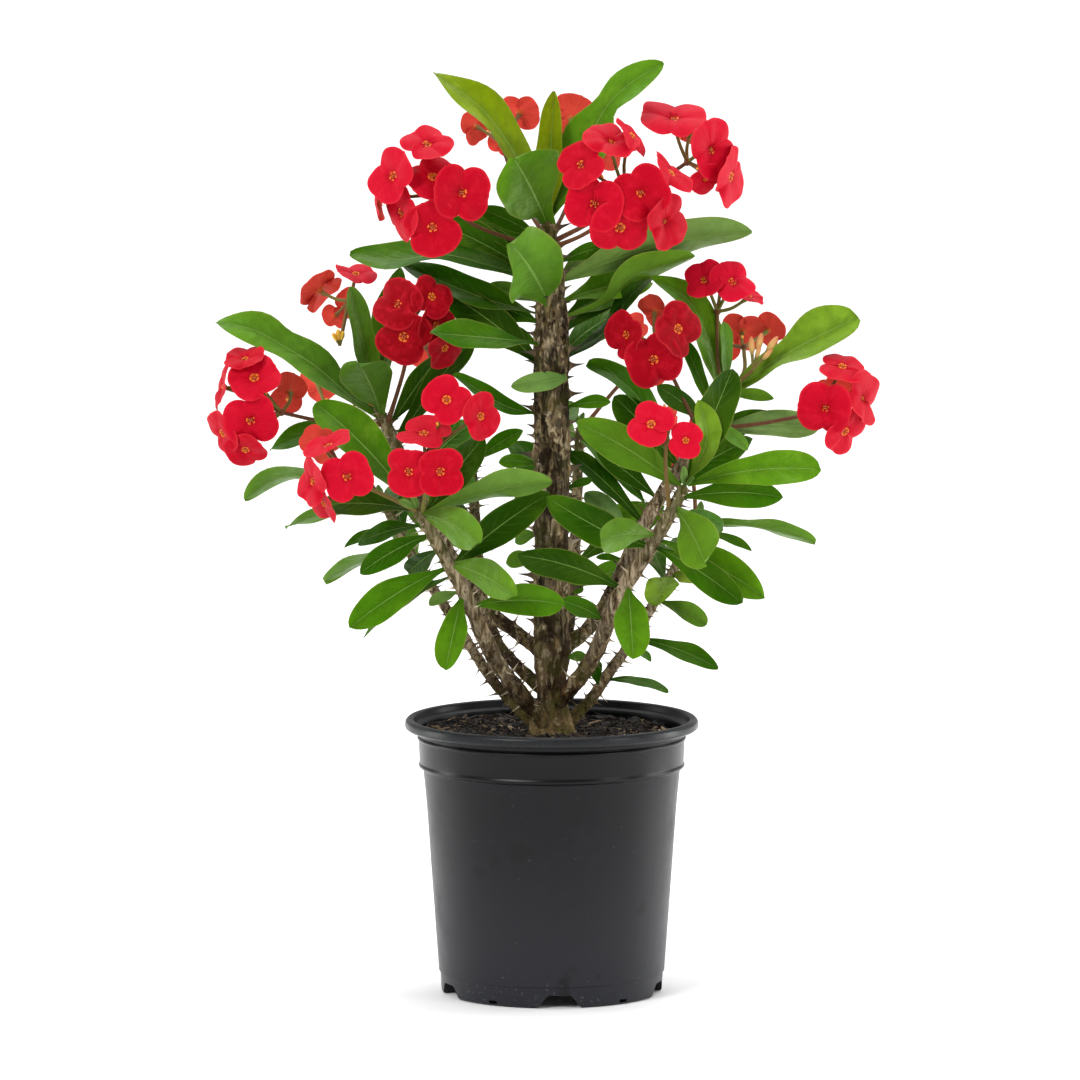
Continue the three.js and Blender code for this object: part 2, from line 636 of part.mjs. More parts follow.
function flower(fork, forkDepth, [x, h, across, turned, up, lean], k) {
  // Two broad bracts joined in one lobed disc, the small cup raised in their middle, and its own stalk.
  const facing = look(turned, up);
  const centre = seen(x, h, forkDepth + FLOWER_STEP * facing.y);
  const level = new THREE.Vector3(0, 0, 1).cross(facing).normalize();
  const rise = facing.clone().cross(level);
  const tilt = lean === undefined ? 0.5 * Math.sin(2.3 * k + x) : THREE.MathUtils.degToRad(lean);
  const long = level.clone().multiplyScalar(Math.cos(tilt)).add(rise.multiplyScalar(Math.sin(tilt)));
  const short = facing.clone().cross(long);
  const place = (from, u, v, w) => {
    return from.clone().addScaledVector(long, u).addScaledVector(short, v).addScaledVector(facing, w);
  };
  const points = [];
  for (let i = 0; i < BRACT_POINTS; i += 1) {
    const angle = (2 * Math.PI * (i + 0.5)) / BRACT_POINTS;
    const u = (across / 2) * (0.88 + 0.12 * Math.abs(Math.cos(angle))) * Math.cos(angle);
    const v = (across / 2) * 0.86 * Math.sin(angle);
    points.push(place(centre, u, v, (0.36 * u * u) / across));
  }
  const cup = 0.09 * across;
  const neck = 1.2;
  for (const turn of [0.5, 1.5, 2.5, 3.5]) {
    const angle = (turn * Math.PI) / 2;
    points.push(place(centre, cup * Math.cos(angle), cup * Math.sin(angle), 0.8));
  }
  points.push(place(centre, 0, 0, 3.6));
  for (const [from, drop] of [[centre, -0.8], [fork, 0]]) {
    for (const turn of [0, 1, 2]) {
      const angle = (turn * 2 * Math.PI) / 3;
      points.push(place(from, neck * Math.cos(angle), neck * Math.sin(angle), drop));
    }
  }
  const cupAt = BRACT_POINTS;
  const apex = cupAt + 4;
  const neckAt = apex + 1;
  const root = neckAt + 3;
  const faces = [];
  for (let i = 0; i < BRACT_POINTS; i += 1) {
    const next = (i + 1) % BRACT_POINTS;
    const inner = cupAt + Math.floor((i * 4) / BRACT_POINTS);
    const innerNext = cupAt + Math.floor((next * 4) / BRACT_POINTS);
    faces.push([i, next, inner]);
    if (inner !== innerNext) faces.push([next, innerNext, inner]);
    const under = neckAt + Math.floor(((i * 3) / BRACT_POINTS + 0.5) % 3);
    const underNext = neckAt + Math.floor(((next * 3) / BRACT_POINTS + 0.5) % 3);
    faces.push([next, i, under]);
    if (under !== underNext) faces.push([next, under, underNext]);
  }
  for (let i = 0; i < 4; i += 1) faces.push([cupAt + i, cupAt + ((i + 1) % 4), apex]);
  for (let i = 0; i < 3; i += 1) {
    const next = (i + 1) % 3;
    faces.push([neckAt + next, neckAt + i, root + i], [neckAt + next, root + i, root + next]);
  }
  faces.push([root, root + 2, root + 1]);
  return toSolid(points, faces);
}

function bunch({ stalk: points, flowers }) {
  const forkReading = points[points.length - 1];
  const fork = seen(...forkReading);
  const hub = geometrySolid(new THREE.OctahedronGeometry(HUB_R).translate(fork.x, fork.y, fork.z));
  const parts = flowers.map((entry, k) => flower(fork, forkReading[2], entry, k));
  return join([hub, ...parts]);
}

function join(solids) {
  return wasm.Manifold.union(solids);
}

function largest(solid) {
  // The biggest loose body of a cut solid.
  return solid.decompose().sort((a, b) => b.volume() - a.volume())[0];
}

// ---- pot and soil ----
function lathe(profile, sides) {
  const points = profile.map(([r, z]) => new THREE.Vector2(r, z));
  const geometry = new THREE.LatheGeometry([...points, points[0]], sides);
  return geometrySolid(geometry.rotateX(Math.PI / 2));
}

function boxSolid(width, depth, height, place) {
  return geometrySolid(new THREE.BoxGeometry(width, depth, height).applyMatrix4(place));
}

function aroundPot(degrees, r, z) {
  // Places a cutter at a bearing that is measured from -Y towards +X.
  const turn = THREE.MathUtils.degToRad(degrees);
  return new THREE.Matrix4().makeRotationZ(turn).multiply(new THREE.Matrix4().makeTranslation(0, -r, z));
}

function notchCutter(degrees) {
  const half = NOTCH.bottom / 2;
  const halfTop = NOTCH.top / 2;
  const outline = new THREE.Shape();
  outline.moveTo(-half, -1);
  outline.lineTo(half, -1);
  outline.lineTo(halfTop + 0.5 * NOTCH.round, NOTCH.height - NOTCH.round);
  outline.lineTo(halfTop - NOTCH.round, NOTCH.height);
  outline.lineTo(-halfTop + NOTCH.round, NOTCH.height);
  outline.lineTo(-halfTop - 0.5 * NOTCH.round, NOTCH.height - NOTCH.round);
  outline.closePath();
  const geometry = new THREE.ExtrudeGeometry(outline, { depth: 24, bevelEnabled: false });
  geometry.rotateX(Math.PI / 2).applyMatrix4(aroundPot(degrees, 45, 0));
  return geometrySolid(geometry);
}

function potSolid() {
  const profile = [
    ...POT, ...POT_INSIDE, [0, FLOOR_TOP], [0, FLOOR_UNDER],
    [FOOT_INNER_R - 3, FLOOR_UNDER], [FOOT_INNER_R, 6.4], [FOOT_INNER_R, 0],
  ];
  let pot = lathe(profile, POT_SIDES);
  const spacing = 360 / NOTCH.count;
  for (let k = 0; k < NOTCH.count; k += 1) {
    const at = NOTCH.first + k * spacing;
    pot = pot.subtract(notchCutter(at));
    const slot = aroundPot(at + spacing / 2, FOOT_R, SLOT.z);
    pot = pot.subtract(boxSolid(SLOT.width, 24, SLOT.height, slot));
    const hole = new THREE.CylinderGeometry(DRAIN.r, DRAIN.r, 8, 6).rotateX(Math.PI / 2);
    pot = pot.subtract(geometrySolid(hole.applyMatrix4(aroundPot(at, DRAIN.ring, FLOOR_TOP))));
  }
  return pot;
}

function soilSolid() {
  // The root ball: the inside of the pot less a small gap, uneven on top, with a plain hole for the trunk.
  const side = POT_INSIDE.slice(3).map(([r, z]) => [r - 1.4 * GAP, z]).reverse();
  side[0] = [side[0][0], FLOOR_TOP + GAP];
  const rings = [54, 34].map((r, i) => [r, SOIL_TOP + 0.5 * (i + 1)]);
  const profile = [[0, FLOOR_TOP + GAP], ...side, [SOIL_R, SOIL_TOP - 1], ...rings, [0, SOIL_TOP + 1]];
  const points = profile.map(([r, z]) => new THREE.Vector2(r, z));
  const geometry = new THREE.LatheGeometry(points, POT_SIDES).rotateX(Math.PI / 2);
  const at = geometry.getAttribute("position");
  for (let i = 0; i < at.count; i += 1) {
    const x = at.getX(i);
    const y = at.getY(i);
    if (at.getZ(i) < SOIL_TOP || Math.hypot(x, y) < 1) continue;
    at.setZ(i, at.getZ(i) + 1.6 * Math.sin(0.31 * x + 1) * Math.cos(0.27 * y));
  }
  const deep = 80;
  const hole = new THREE.CylinderGeometry(SOIL_HOLE_R, SOIL_HOLE_R, deep, 14).rotateX(Math.PI / 2);
  return geometrySolid(geometry).subtract(geometrySolid(hole.translate(0, 0, SOIL_HOLE_FLOOR + deep / 2)));
}

// ---- plant ----
function stemPart(stem, from, to) {
  return { path: stem.path.slice(from, to + 1), radii: stem.radii.slice(from, to + 1) };
}

function stalksOf(name) {
  const whole = STEMS[name];
  return Object.values(BUNCHES).filter((b) => b.stem === name).map((b) => stalk(whole, b.stalk));
}

function farLeavesOf(name, stem) {
  return FAR_LEAVES.filter(([owner]) => owner === name).flatMap(([, ...rule]) => farLeaves(stem, ...rule));
}

function nearBranchRoot(at) {
  // Whether a branch leaves the trunk close to this height.
  const roots = Object.entries(STEMS).filter(([name]) => name !== "main").map(([, s]) => s.path[0][1]);
  return roots.some((h) => at.z > h - 3 && at.z < h + 15);
}

function trunkSolid() {
  const part = stemPart(STEMS.main, 0, TRUNK_TOP);
  const body = tube(stemCurve(part), part.radii, 8);
  const top = part.path[part.path.length - 1][1];
  const spikes = thorns(STEMS.main, THORN.trunkPitch, SOIL_TOP + 10, top - 4, nearBranchRoot);
  const leaves = LEAVES.trunk.map((entry) => leaf(part, entry));
  const far = farLeavesOf("trunk", part);
  return join([body, ...spikes, ...leaves, ...far]);
}

function shootSolid() {
  // The leafy top of the main stem, which starts a hair above the trunk's cut end.
  const part = stemPart(STEMS.main, TRUNK_TOP, STEMS.main.path.length - 1);
  const axis = stemCurve(part);
  axis[0].z += GAP;
  const body = tube(axis, part.radii, 8);
  const leaves = LEAVES.main.map((entry) => leaf(part, entry));
  const far = farLeavesOf("main", part);
  const spikes = thorns(STEMS.main, THORN.trunkPitch, part.path[0][1] + 4, 412, () => false);
  return join([body, ...spikes, ...leaves, ...far, ...stalksOf("main")]);
}

function branchSolid(name) {
  // A side branch, cut back to clear the trunk that it grows from.
  const stem = STEMS[name];
  const body = tube(stemCurve(stem), stem.radii, 6);
  const leaves = LEAVES[name] ? LEAVES[name].map((entry) => leaf(stem, entry)) : [];
  const far = farLeavesOf(name, stem);
  const top = stem.path[stem.path.length - 1][1];
  const spikes = thorns(stem, THORN.branchPitch, SOIL_TOP + 16, top - 4, (at) => Math.hypot(at.x, at.y) < 24);
  const main = STEMS.main;
  const clear = tube(stemCurve(main), main.radii.map((r) => r + 1.5 * GAP), 8);
  return largest(join([body, ...spikes, ...leaves, ...far, ...stalksOf(name)]).subtract(clear));
}

// ---- assembly ----
const PLASTIC = new THREE.MeshStandardMaterial({ color: 0x1c1c1e, roughness: 0.45, metalness: 0 });
const BARK_SOIL = new THREE.MeshStandardMaterial({ color: 0x4a3322, roughness: 0.95, metalness: 0 });
const BARK = new THREE.MeshStandardMaterial({ color: 0x5e4c38, roughness: 0.85, metalness: 0 });
const GREEN = new THREE.MeshStandardMaterial({ color: 0x3f7a1e, roughness: 0.5, metalness: 0 });
const RED = new THREE.MeshStandardMaterial({ color: 0xc8102e, roughness: 0.55, metalness: 0 });

const plant = new THREE.Group();

function addPiece(name, solid, material) {
  const { vertProperties, triVerts } = solid.getMesh();
  const geometry = new THREE.BufferGeometry();
  geometry.setAttribute("position", new THREE.Float32BufferAttribute(vertProperties, 3));
  geometry.setIndex(Array.from(triVerts));
  geometry.computeVertexNormals();
  const mesh = new THREE.Mesh(geometry, material);
  mesh.name = name;
  plant.add(mesh);
}

addPiece("pot", potSolid(), PLASTIC);
addPiece("soil", soilSolid(), BARK_SOIL);
addPiece("trunk", trunkSolid(), BARK);
addPiece("main_shoot", shootSolid(), GREEN);
for (const name of Object.keys(STEMS)) {
  if (name !== "main") addPiece(`${name}_branch`, branchSolid(name), GREEN);
}
for (const [name, entry] of Object.entries(BUNCHES)) {
  addPiece(`flowers_${name}`, bunch(entry), RED);
}

const whole = new THREE.Box3().setFromObject(plant);
const middle = whole.getCenter(new THREE.Vector3());
plant.position.set(-middle.x, -middle.y, 0);
plant.updateMatrixWorld(true);

export default plant;
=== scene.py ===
import math

import bpy
import numpy as np
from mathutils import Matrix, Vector, noise


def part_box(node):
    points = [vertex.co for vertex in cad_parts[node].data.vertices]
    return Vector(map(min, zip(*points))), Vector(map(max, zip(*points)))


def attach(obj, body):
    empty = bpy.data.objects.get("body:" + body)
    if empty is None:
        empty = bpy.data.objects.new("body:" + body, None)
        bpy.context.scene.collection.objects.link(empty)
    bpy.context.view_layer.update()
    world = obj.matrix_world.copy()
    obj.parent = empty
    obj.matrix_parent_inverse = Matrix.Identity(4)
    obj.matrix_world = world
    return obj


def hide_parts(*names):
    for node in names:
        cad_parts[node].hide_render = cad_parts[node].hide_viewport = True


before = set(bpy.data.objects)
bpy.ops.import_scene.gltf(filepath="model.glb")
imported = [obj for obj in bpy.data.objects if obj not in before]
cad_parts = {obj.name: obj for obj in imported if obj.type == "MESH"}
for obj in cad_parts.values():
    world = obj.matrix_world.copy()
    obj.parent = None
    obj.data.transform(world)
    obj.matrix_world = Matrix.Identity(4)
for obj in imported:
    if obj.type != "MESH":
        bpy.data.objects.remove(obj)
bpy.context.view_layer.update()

# ---- driving dimensions, in millimetres unless named otherwise ----
MM = 0.001
POT_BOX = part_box("pot")
AXIS = np.array([(POT_BOX[0][0] + POT_BOX[1][0]) / 2, (POT_BOX[0][1] + POT_BOX[1][1]) / 2, 0.0])
STANDING_EYE = 5000  # the viewer that the layout is read by stands this far in front of the pot's axis
EYE_HEIGHT = 859
LOOK_AT = (-6.6, 256.85)  # x and height of the middle of the view
LENS = 298.1
SENSOR = 36

POT_SIDES = 144
FOOT_R = 59
FOOT_INNER_R = 54.5
FLOOR_UNDER = 8.6
FLOOR_TOP = 10.8
NOTCH = {"count": 5, "first": 4, "top": 14, "bottom": 25, "height": 7.4, "cut": (45, 70)}
SLOT = {"width": 5.2, "height": 1.8, "z": 2.2, "cut": (48, 70)}
DRAIN = {"r": 4, "ring": 36, "sides": 20, "cut": (4, 16)}
BAND_FOOT = 127  # where the pot's side ends and its band starts
LIP_FOOT = 149
SOIL_TOP = 146
SOIL_R = 72.7
SOIL_RINGS = 26
SOIL_SIDES = 120
CHIPS = 4200
CHIPS_CLEAR = 12  # no chip lies this near the trunk's middle
POT_CREASE = 35  # edges sharper than this many degrees stay sharp
CREASE = 50
GOLDEN = 2.39996  # the angle in radians from one thorn to the next round its stem
STEM_STEP = 1.3
TRUNK_SIDES = 56
BRANCH_SIDES = 32
TRUNK_TOP = 10  # the point of the main stem where the bare trunk ends
ROOT_FLARE = 0.22  # how much the trunk widens at the soil
FLARE_REACH = 8  # over this height, and a branch's collar over the same length
PALE_FROM = 12  # a branch's bark grows pale from here, measured from its root
PALE_OVER = 62
YOUNG_OVER = 60  # how long the green end of a stem is
BRANCH_GAP = (-3, 12)  # the trunk has no thorns from this far under a branch's root to this far over it
TRUNK_CLEAR = 13  # and a branch has none this near the trunk's middle
LEAF = {"slim": 0.27, "fold": 0.24, "wave": 0.075, "turn": 1.1, "thick": 0.75, "rows": 22, "columns": 12}
LEAF_SINK = 1.3  # how deep a leaf's root is in the bark
FAR_TURN = 137.5  # degrees from one leaf of the far side to the next
FAR_SPREAD = 65  # and how far they spread to each side
FLOWER_STEP = 17  # how far a flower stands out of its bunch towards the way it faces
FLOWER_SPREAD = 1.02  # the open bracts reach this much further than their plain disc
BRACT_HALF = 1.9  # half the angle that one bract fills, in radians
STALK_R = 1.2
HUB_R = 2.1
FLOOR_REACH = 40  # in metres, and so are the next two
PLANT_MIDDLE = (0, 0, 0.27)
CLIP = (0.1, 50)
WORLD_LIGHT = 0.5

# Thorns. bare is the height over the soil without any, tip the stretch without any at the stem's end, crowd
# the stretch before the end where they are closer, and bleached the share of pale ones.
TRUNK_THORNS = {
  "spacing": 2.0, "length": 8.6, "base": 2.4, "bare": 14, "tip": 8, "crowd": 0, "bleached": 0.06,
}
BRANCH_THORNS = {
  "spacing": 2.1, "length": 7.2, "base": 0.8, "bare": 6, "tip": 2, "crowd": 22, "bleached": 0.3,
}
# A thorn's outline as [share of its length, share of its base's size]
THORN_STEPS = ((-0.2, 1.25), (0.0, 1.0), (0.18, 0.62), (0.42, 0.34), (0.75, 0.16), (1.0, 0.015))
THORN_SIDES = 7

# The pot's section as [radius, height, fillet]
POT_OUTSIDE = [
  [FOOT_R, 0, 0.6], [62.3, 0.4, 2.6], [63.05, 11.8, 0.3], [63.8, 12.3, 0.3], [66.7, 52, 20], [70.7, 109, 10],
  [72.6, 127.4, 0.7], [75.1, 128.9, 0.7], [75.2, 130.0, 0.4], [74.6, 131.1, 0.5], [75.2, 144.0, 0.4],
  [75.9, 144.6, 0.3], [75.9, 145.4, 0.3], [74.9, 146.6, 0.4], [76.3, 147.3, 0.5], [76.4, 149.3, 0.5],
  [81.1, 149.6, 0.9], [82.9, 151.0, 0.8], [82.6, 154.6, 0.9], [80.9, 156.1, 0.7],
]
POT_INSIDE = [
  [78.1, 155.6, 0.8], [77.1, 152.1, 0.6], [74.2, 150.5, 0.8], [73, 130, 1], [70.9, 126, 1], [69, 109, 6],
  [65, 52, 10], [61.6, 14, 2], [58, FLOOR_TOP, 2], [0.01, FLOOR_TOP, 0], [0.01, FLOOR_UNDER, 0],
  [FOOT_INNER_R - 2.5, FLOOR_UNDER, 1], [FOOT_INNER_R, 6.4, 1], [FOOT_INNER_R, 0, 0.4],
]
# The root ball under the soil's rim as [radius, height]
ROOT_BALL = [
  [SOIL_R, SOIL_TOP - 4], [SOIL_R - 0.3, 131], [69.6, 125.4], [64.2, 52], [60.8, 14.5], [57, 11.3],
]

# Stems. Each is the points of its path, and the radii that run along them. A point is [x, h, depth]: where it
# is seen against an upright plane through the pot's axis, and how far behind that plane it is.
STEMS = {
  "main": ([
    [0, 96, 0], [0, 120, 0], [0, 144, 0], [0, 153, 0], [0, 166, 0], [0, 181, 0], [0, 195, 0], [0, 206, 0],
    [0, 250, 0], [0, 300, 0], [0, 345, 0], [0, 380, 0], [-1, 402, 0], [-2, 420, 0], [-2, 433, 0],
    [-2, 441, 0],
  ], [7, 9, 10.8, 11, 8.7, 8.6, 10.6, 9.8, 9.6, 9.8, 9.8, 9.4, 8, 5.6, 4.2, 2.6]),
  "front_left": ([
    [-3, 152, -7], [-18, 170, -20], [-30, 186, -28], [-38, 201, -34], [-46, 220, -39], [-56, 240, -43],
    [-66, 258, -46], [-76, 275, -48],
  ], [4.6, 4.6, 4.6, 4.5, 4.3, 4.1, 3.8, 3.1]),
  "far_left": ([
    [-6, 150, 4], [-24, 166, 14], [-38, 184, 28], [-48, 200, 42], [-62, 222, 59], [-80, 250, 74],
    [-96, 281, 84],
  ], [3.4, 3.1, 3, 3, 2.9, 2.8, 2.3]),
  "left": ([
    [-4, 192, 3], [-22, 206, 7], [-38, 219, 13], [-55, 245, 18], [-70, 272, 22], [-83, 300, 27],
    [-94, 324, 28], [-99, 334, 28],
  ], [4, 3.8, 3.8, 3.8, 3.8, 3.7, 3.4, 2.6]),
  "back_left": ([
    [-4, 171, 6], [-20, 186, 22], [-30, 198, 39], [-38, 220, 59], [-42, 250, 78], [-44, 285, 94],
    [-46, 312, 102],
  ], [3.7, 3.5, 3.4, 3.3, 3.2, 3, 2.3]),
  "back": ([
    [1, 176, 6], [8, 200, 36], [12, 235, 64], [14, 275, 85], [15, 300, 95], [16, 322, 102],
  ], [3.7, 3.5, 3.4, 3.2, 3, 2.3]),
  "far_right": ([
    [6, 150, 4], [22, 166, 14], [32, 181, 25], [42, 195, 39], [56, 218, 56], [70, 242, 70], [84, 267, 80],
  ], [3.6, 3.3, 3.2, 3.1, 3, 2.8, 2.3]),
  "front_right": ([
    [4, 165, -6], [18, 182, -17], [27, 198, -25], [35, 220, -34], [46, 238, -38], [57, 255, -42],
    [66, 271, -45], [75, 288, -46],
  ], [4.2, 4.6, 4.7, 4.5, 4.3, 4.1, 3.8, 3]),
  "right": ([
    [5, 195, 3], [20, 206, 7], [30, 220, 11], [40, 240, 15], [52, 266, 18], [68, 292, 21], [84, 316, 22],
    [98, 340, 22],
  ], [4.2, 4.1, 4, 4, 4, 3.9, 3.7, 2.8]),
}

# Leaves. Each is [x, h of its root, x, h, depth of its tip, width as seen, side seen, any points between].
# The side seen is 1 for the upper side and -1 for the underside.
LEAVES = {
  "main": [
    [-3, 436, -65, 522, 14, 18, 1, [-19, 471], [-38, 499]],
    [-2, 436, 1, 510, 6, 17, 1],
    [-2, 434, -21, 472, -38, 42, 1],
    [3, 436, 62, 527, 11, 26, 1, [14, 468], [23, 487], [31, 502], [44, 515]],
    [9, 402, 112, 432, 17, 24, -1],
    [9, 380, 80, 418, 11, 12, -1, [30, 391], [42, 404]],
    [11, 355, 56, 408, 20, 10, 1, [31, 375], [42, 392]],
    [-8, 402, -113, 421, 20, 15, 1, [-33, 411], [-60, 418], [-88, 416]],
    [-9, 382, -84, 413, 17, 15, 1, [-40, 394]],
    [-11, 352, -60, 397, 14, 22, 1],
    [-2, 388, -23, 424, -70, 40, 1],
    [-9, 367, -68, 374, -48, 14, 1, [-35, 371]],
    [-9, 389, -37, 399, 25, 9, -1],
    [-9, 377, -39, 390, 17, 13, 1],
    [-9, 364, -28, 375, 8, 10, 1],
    [-6, 425, -42, 444, -6, 11, 1],
    [4, 412, 33, 423, 8, 9, 1],
    [9, 402, 22, 418, 14, 8, 1],
    [8, 350, -23, 344, -16, 11, 1, [7, 349, -12], [-5, 346, -16]],
  ],
  "trunk": [
    [-9, 326, -55, 351, -11, 10, 1, [-25, 332]],
    [-9, 299, -30, 301, 17, 8, 1],
    [9, 283, 23, 291, 8, 5, 1],
    [10, 331, 33, 335, -8, 8, 1],
    [8, 190, 20, 190, -8, 6, 1],
    [8, 231, 18, 228, 11, 6, 1],
    [-9, 262, -21, 256, 11, 8, 1],
    [-8, 246, -26, 244, 11, 10, 1],
  ],
  "front_left": [
    [-78, 272, -133, 335, 6, 24, 1],
    [-74, 272, -41, 255, -95, 21, -1],
    [-72, 272, 0, 290, -63, 15, -1],
    [-68, 272, -38, 315, -31, 20, 1],
    [-60, 240, -1, 283, -42, 20, 1],
    [-76, 272, -135, 276, -28, 14, 1],
    [-74, 263, -110, 255, -25, 10, 1],
    [-72, 258, -108, 238, -63, 14, 1],
    [-72, 256, -128, 233, -14, 7, -1],
    [-66, 250, -81, 238, -17, 12, 1],
    [-63, 239, -114, 207, -63, 19, 1],
    [-66, 232, -107, 202, -14, 5, 1],
    [-55, 226, -69, 220, -28, 7, -1],
    [-53, 226, -60, 183, -70, 17, 1],
    [-58, 244, -21, 225, -87, 20, -1],
    [-42, 221, 7, 220, -70, 18, 1],
  ],
  "far_left": [
    [-100, 283, -173, 280, 87, 11, -1, [-150, 293]],
    [-96, 276, -150, 264, 77, 7, -1],
    [-88, 264, -117, 253, 70, 5, 1],
  ],
  "left": [
    [-95, 327, -188, 382, 7, 19, 1, [-111, 336], [-134, 356], [-151, 367], [-168, 377]],
    [-95, 326, -109, 358, -21, 29, -1],
    [-98, 333, -113, 400, 17, 13, 1],
    [-97, 332, -86, 411, 42, 18, 1],
    [-96, 322, -159, 309, 31, 11, 1],
    [-85, 312, -45, 371, 17, 16, 1],
    [-88, 322, -62, 362, 34, 14, 1],
  ],
  "back_left": [
    [-45, 300, -16, 319, 101, 10, 1],
  ],
  "front_right": [
    [70, 288, 14, 323, -70, 22, -1],
    [75, 288, 83, 336, -59, 15, 1, [87, 312]],
    [78, 288, 102, 353, -53, 21, 1],
    [76, 288, 151, 297, -70, 20, 1],
    [75, 279, 130, 281, -53, 18, 1],
    [70, 276, 87, 243, -95, 24, -1],
    [68, 270, 97, 263, -11, 12, 1],
    [54, 254, -3, 281, -63, 21, 1, [34, 260], [17, 269]],
    [60, 259, 27, 256, -87, 18, -1],
    [40, 230, -19, 248, -67, 19, 1],
    [30, 211, 6, 222, -48, 11, 1],
    [44, 232, 46, 190, -73, 20, 1],
    [60, 252, 107, 221, -56, 17, 1],
    [62, 256, 120, 224, -39, 20, 1],
  ],
  "right": [
    [95, 335, 56, 406, 11, 17, 1, [88, 370], [76, 393]],
    [93, 337, 71, 403, 31, 7, 1],
    [98, 337, 171, 384, 3, 23, 1, [125, 358]],
    [98, 338, 125, 337, 6, 7, -1],
    [86, 318, 150, 320, 20, 16, 1],
    [90, 324, 110, 308, 0, 8, 1],
    [98, 340, 97, 380, 6, 8, 1],
    [66, 290, 20, 357, 25, 15, 1, [57, 324], [40, 346]],
    [72, 298, 35, 338, 20, 21, 1],
    [52, 266, 10, 307, 17, 13, 1],
    [60, 280, 25, 307, 11, 12, 1],
    [46, 254, 19, 284, 22, 14, 1],
    [56, 273, 17, 314, 31, 9, 1],
    [88, 322, 59, 344, 0, 12, 1],
    [90, 328, 74, 370, 25, 9, 1],
    [42, 246, 25, 247, 14, 4, 1],
  ],
  "far_right": [
    [84, 266, 149, 257, 77, 9, -1, [112, 265]],
    [80, 262, 113, 251, 70, 5, 1],
    [66, 237, 88, 234, 42, 12, 1],
    [66, 238, 59, 220, 40, 17, 1],
    [60, 222, 88, 209, 42, 11, -1],
    [46, 201, 94, 184, 31, 11, 1],
    [30, 178, 66, 171, 8, 6, 1],
    [43, 197, 56, 188, 20, 5, 1],
  ],
}

# Leaves too small to be told apart in the CAD model, laid out as the others are
SMALL_LEAVES = {"far_right": [[27, 172, 23.5, 190, 4, 8, 1]]}

# Leaves of the far side: [stem, how many, first and last height, shortest length, middle bearing from +Y]
FAR_LEAVES = [
  ["main", 7, 352, 428, 52, 0], ["trunk", 2, 262, 325, 30, -12], ["back_left", 6, 240, 308, 44, -42],
  ["back", 7, 222, 318, 44, 12], ["far_left", 3, 236, 278, 38, -25], ["far_right", 3, 226, 264, 40, 40],
  ["left", 3, 262, 320, 40, 0], ["right", 2, 272, 322, 40, 20],
]
# How far along its rib a leaf is widest, how pointed it is and any waist, where it differs from the others
FORMS = {
  "main": {
    0: (0.46, 0.35), 1: (0.4, 0.6), 2: (0.68, 0), 3: (0.48, 0.3, 0.63, 0.45), 4: (0.55, 0.5), 8: (0.6, 0.2),
    10: (0.5, 0.3), 18: (0.5, 0.2),
  },
  "front_left": {
    0: (0.6, 0.2), 1: (0.62, 0.5), 2: (0.62, 0.2), 4: (0.5, 0.4), 13: (0.6, 0.1), 14: (0.58, 0.7),
    15: (0.6, 0),
  },
  "left": {0: (0.42, 0.2, 0.63, 0.22), 1: (0.62, 0.5)},
  "front_right": {
    0: (0.6, 0.5), 2: (0.66, 0), 3: (0.7, 0.1, 0.5, 0.1), 5: (0.64, 0.1), 7: (0.5, 0.3), 8: (0.66, 0),
    9: (0.6, 0.2), 11: (0.6, 0.1),
  },
  "right": {2: (0.72, 0, 0.45, 0.14), 7: (0.6, 0.3)},
  "far_right": {3: (0.5, 0)},
}
# The leaves' tones that their width and side don't give, from 0 for the darkest to 1 for young yellow-green.
# The dark tones are painted shade for leaves that stand in shade, and the pale ones are partly painted light
# for leaves turned to the sky.
YOUNG, PALE, BRIGHT, PLAIN, SHADED_DARK = 1, 0.78, 0.66, 0.45, 0.18
TONES = {
  "main": {0: 0.98, 1: YOUNG, 2: 0.72, 3: 0.72, 4: 0.88, 10: 0.74, 6: SHADED_DARK, 9: SHADED_DARK, 17: 0.9, 18: 0.85},
  "trunk": {4: 0.8, 6: 0.8, 7: 0.75},
  "far_right": {2: 0.97, 3: 0.94, 4: PALE, 0: PALE},
  "front_left": {3: SHADED_DARK, 4: 0.25, 5: SHADED_DARK, 9: SHADED_DARK, 10: 0.6, 13: 0.66, 14: 0.73, 15: 0.62},
  "left": {0: 0.75, 1: 0.5, 2: 0.74, 3: 0.3, 4: 0.5, 5: SHADED_DARK, 6: SHADED_DARK},
  "front_right": {0: 0.6, 1: 0.93, 2: 0.12, 3: 0.71, 4: 0.5, 7: 0.34, 8: 0.76, 9: SHADED_DARK, 11: 0.68},
  "right": {0: 0.7, 2: 0.93, 4: 0.88, 5: 0.8, 6: 0.8, 7: 0.5, 8: SHADED_DARK, 9: SHADED_DARK, 10: SHADED_DARK, 11: 0.88, 13: 0.3},
}

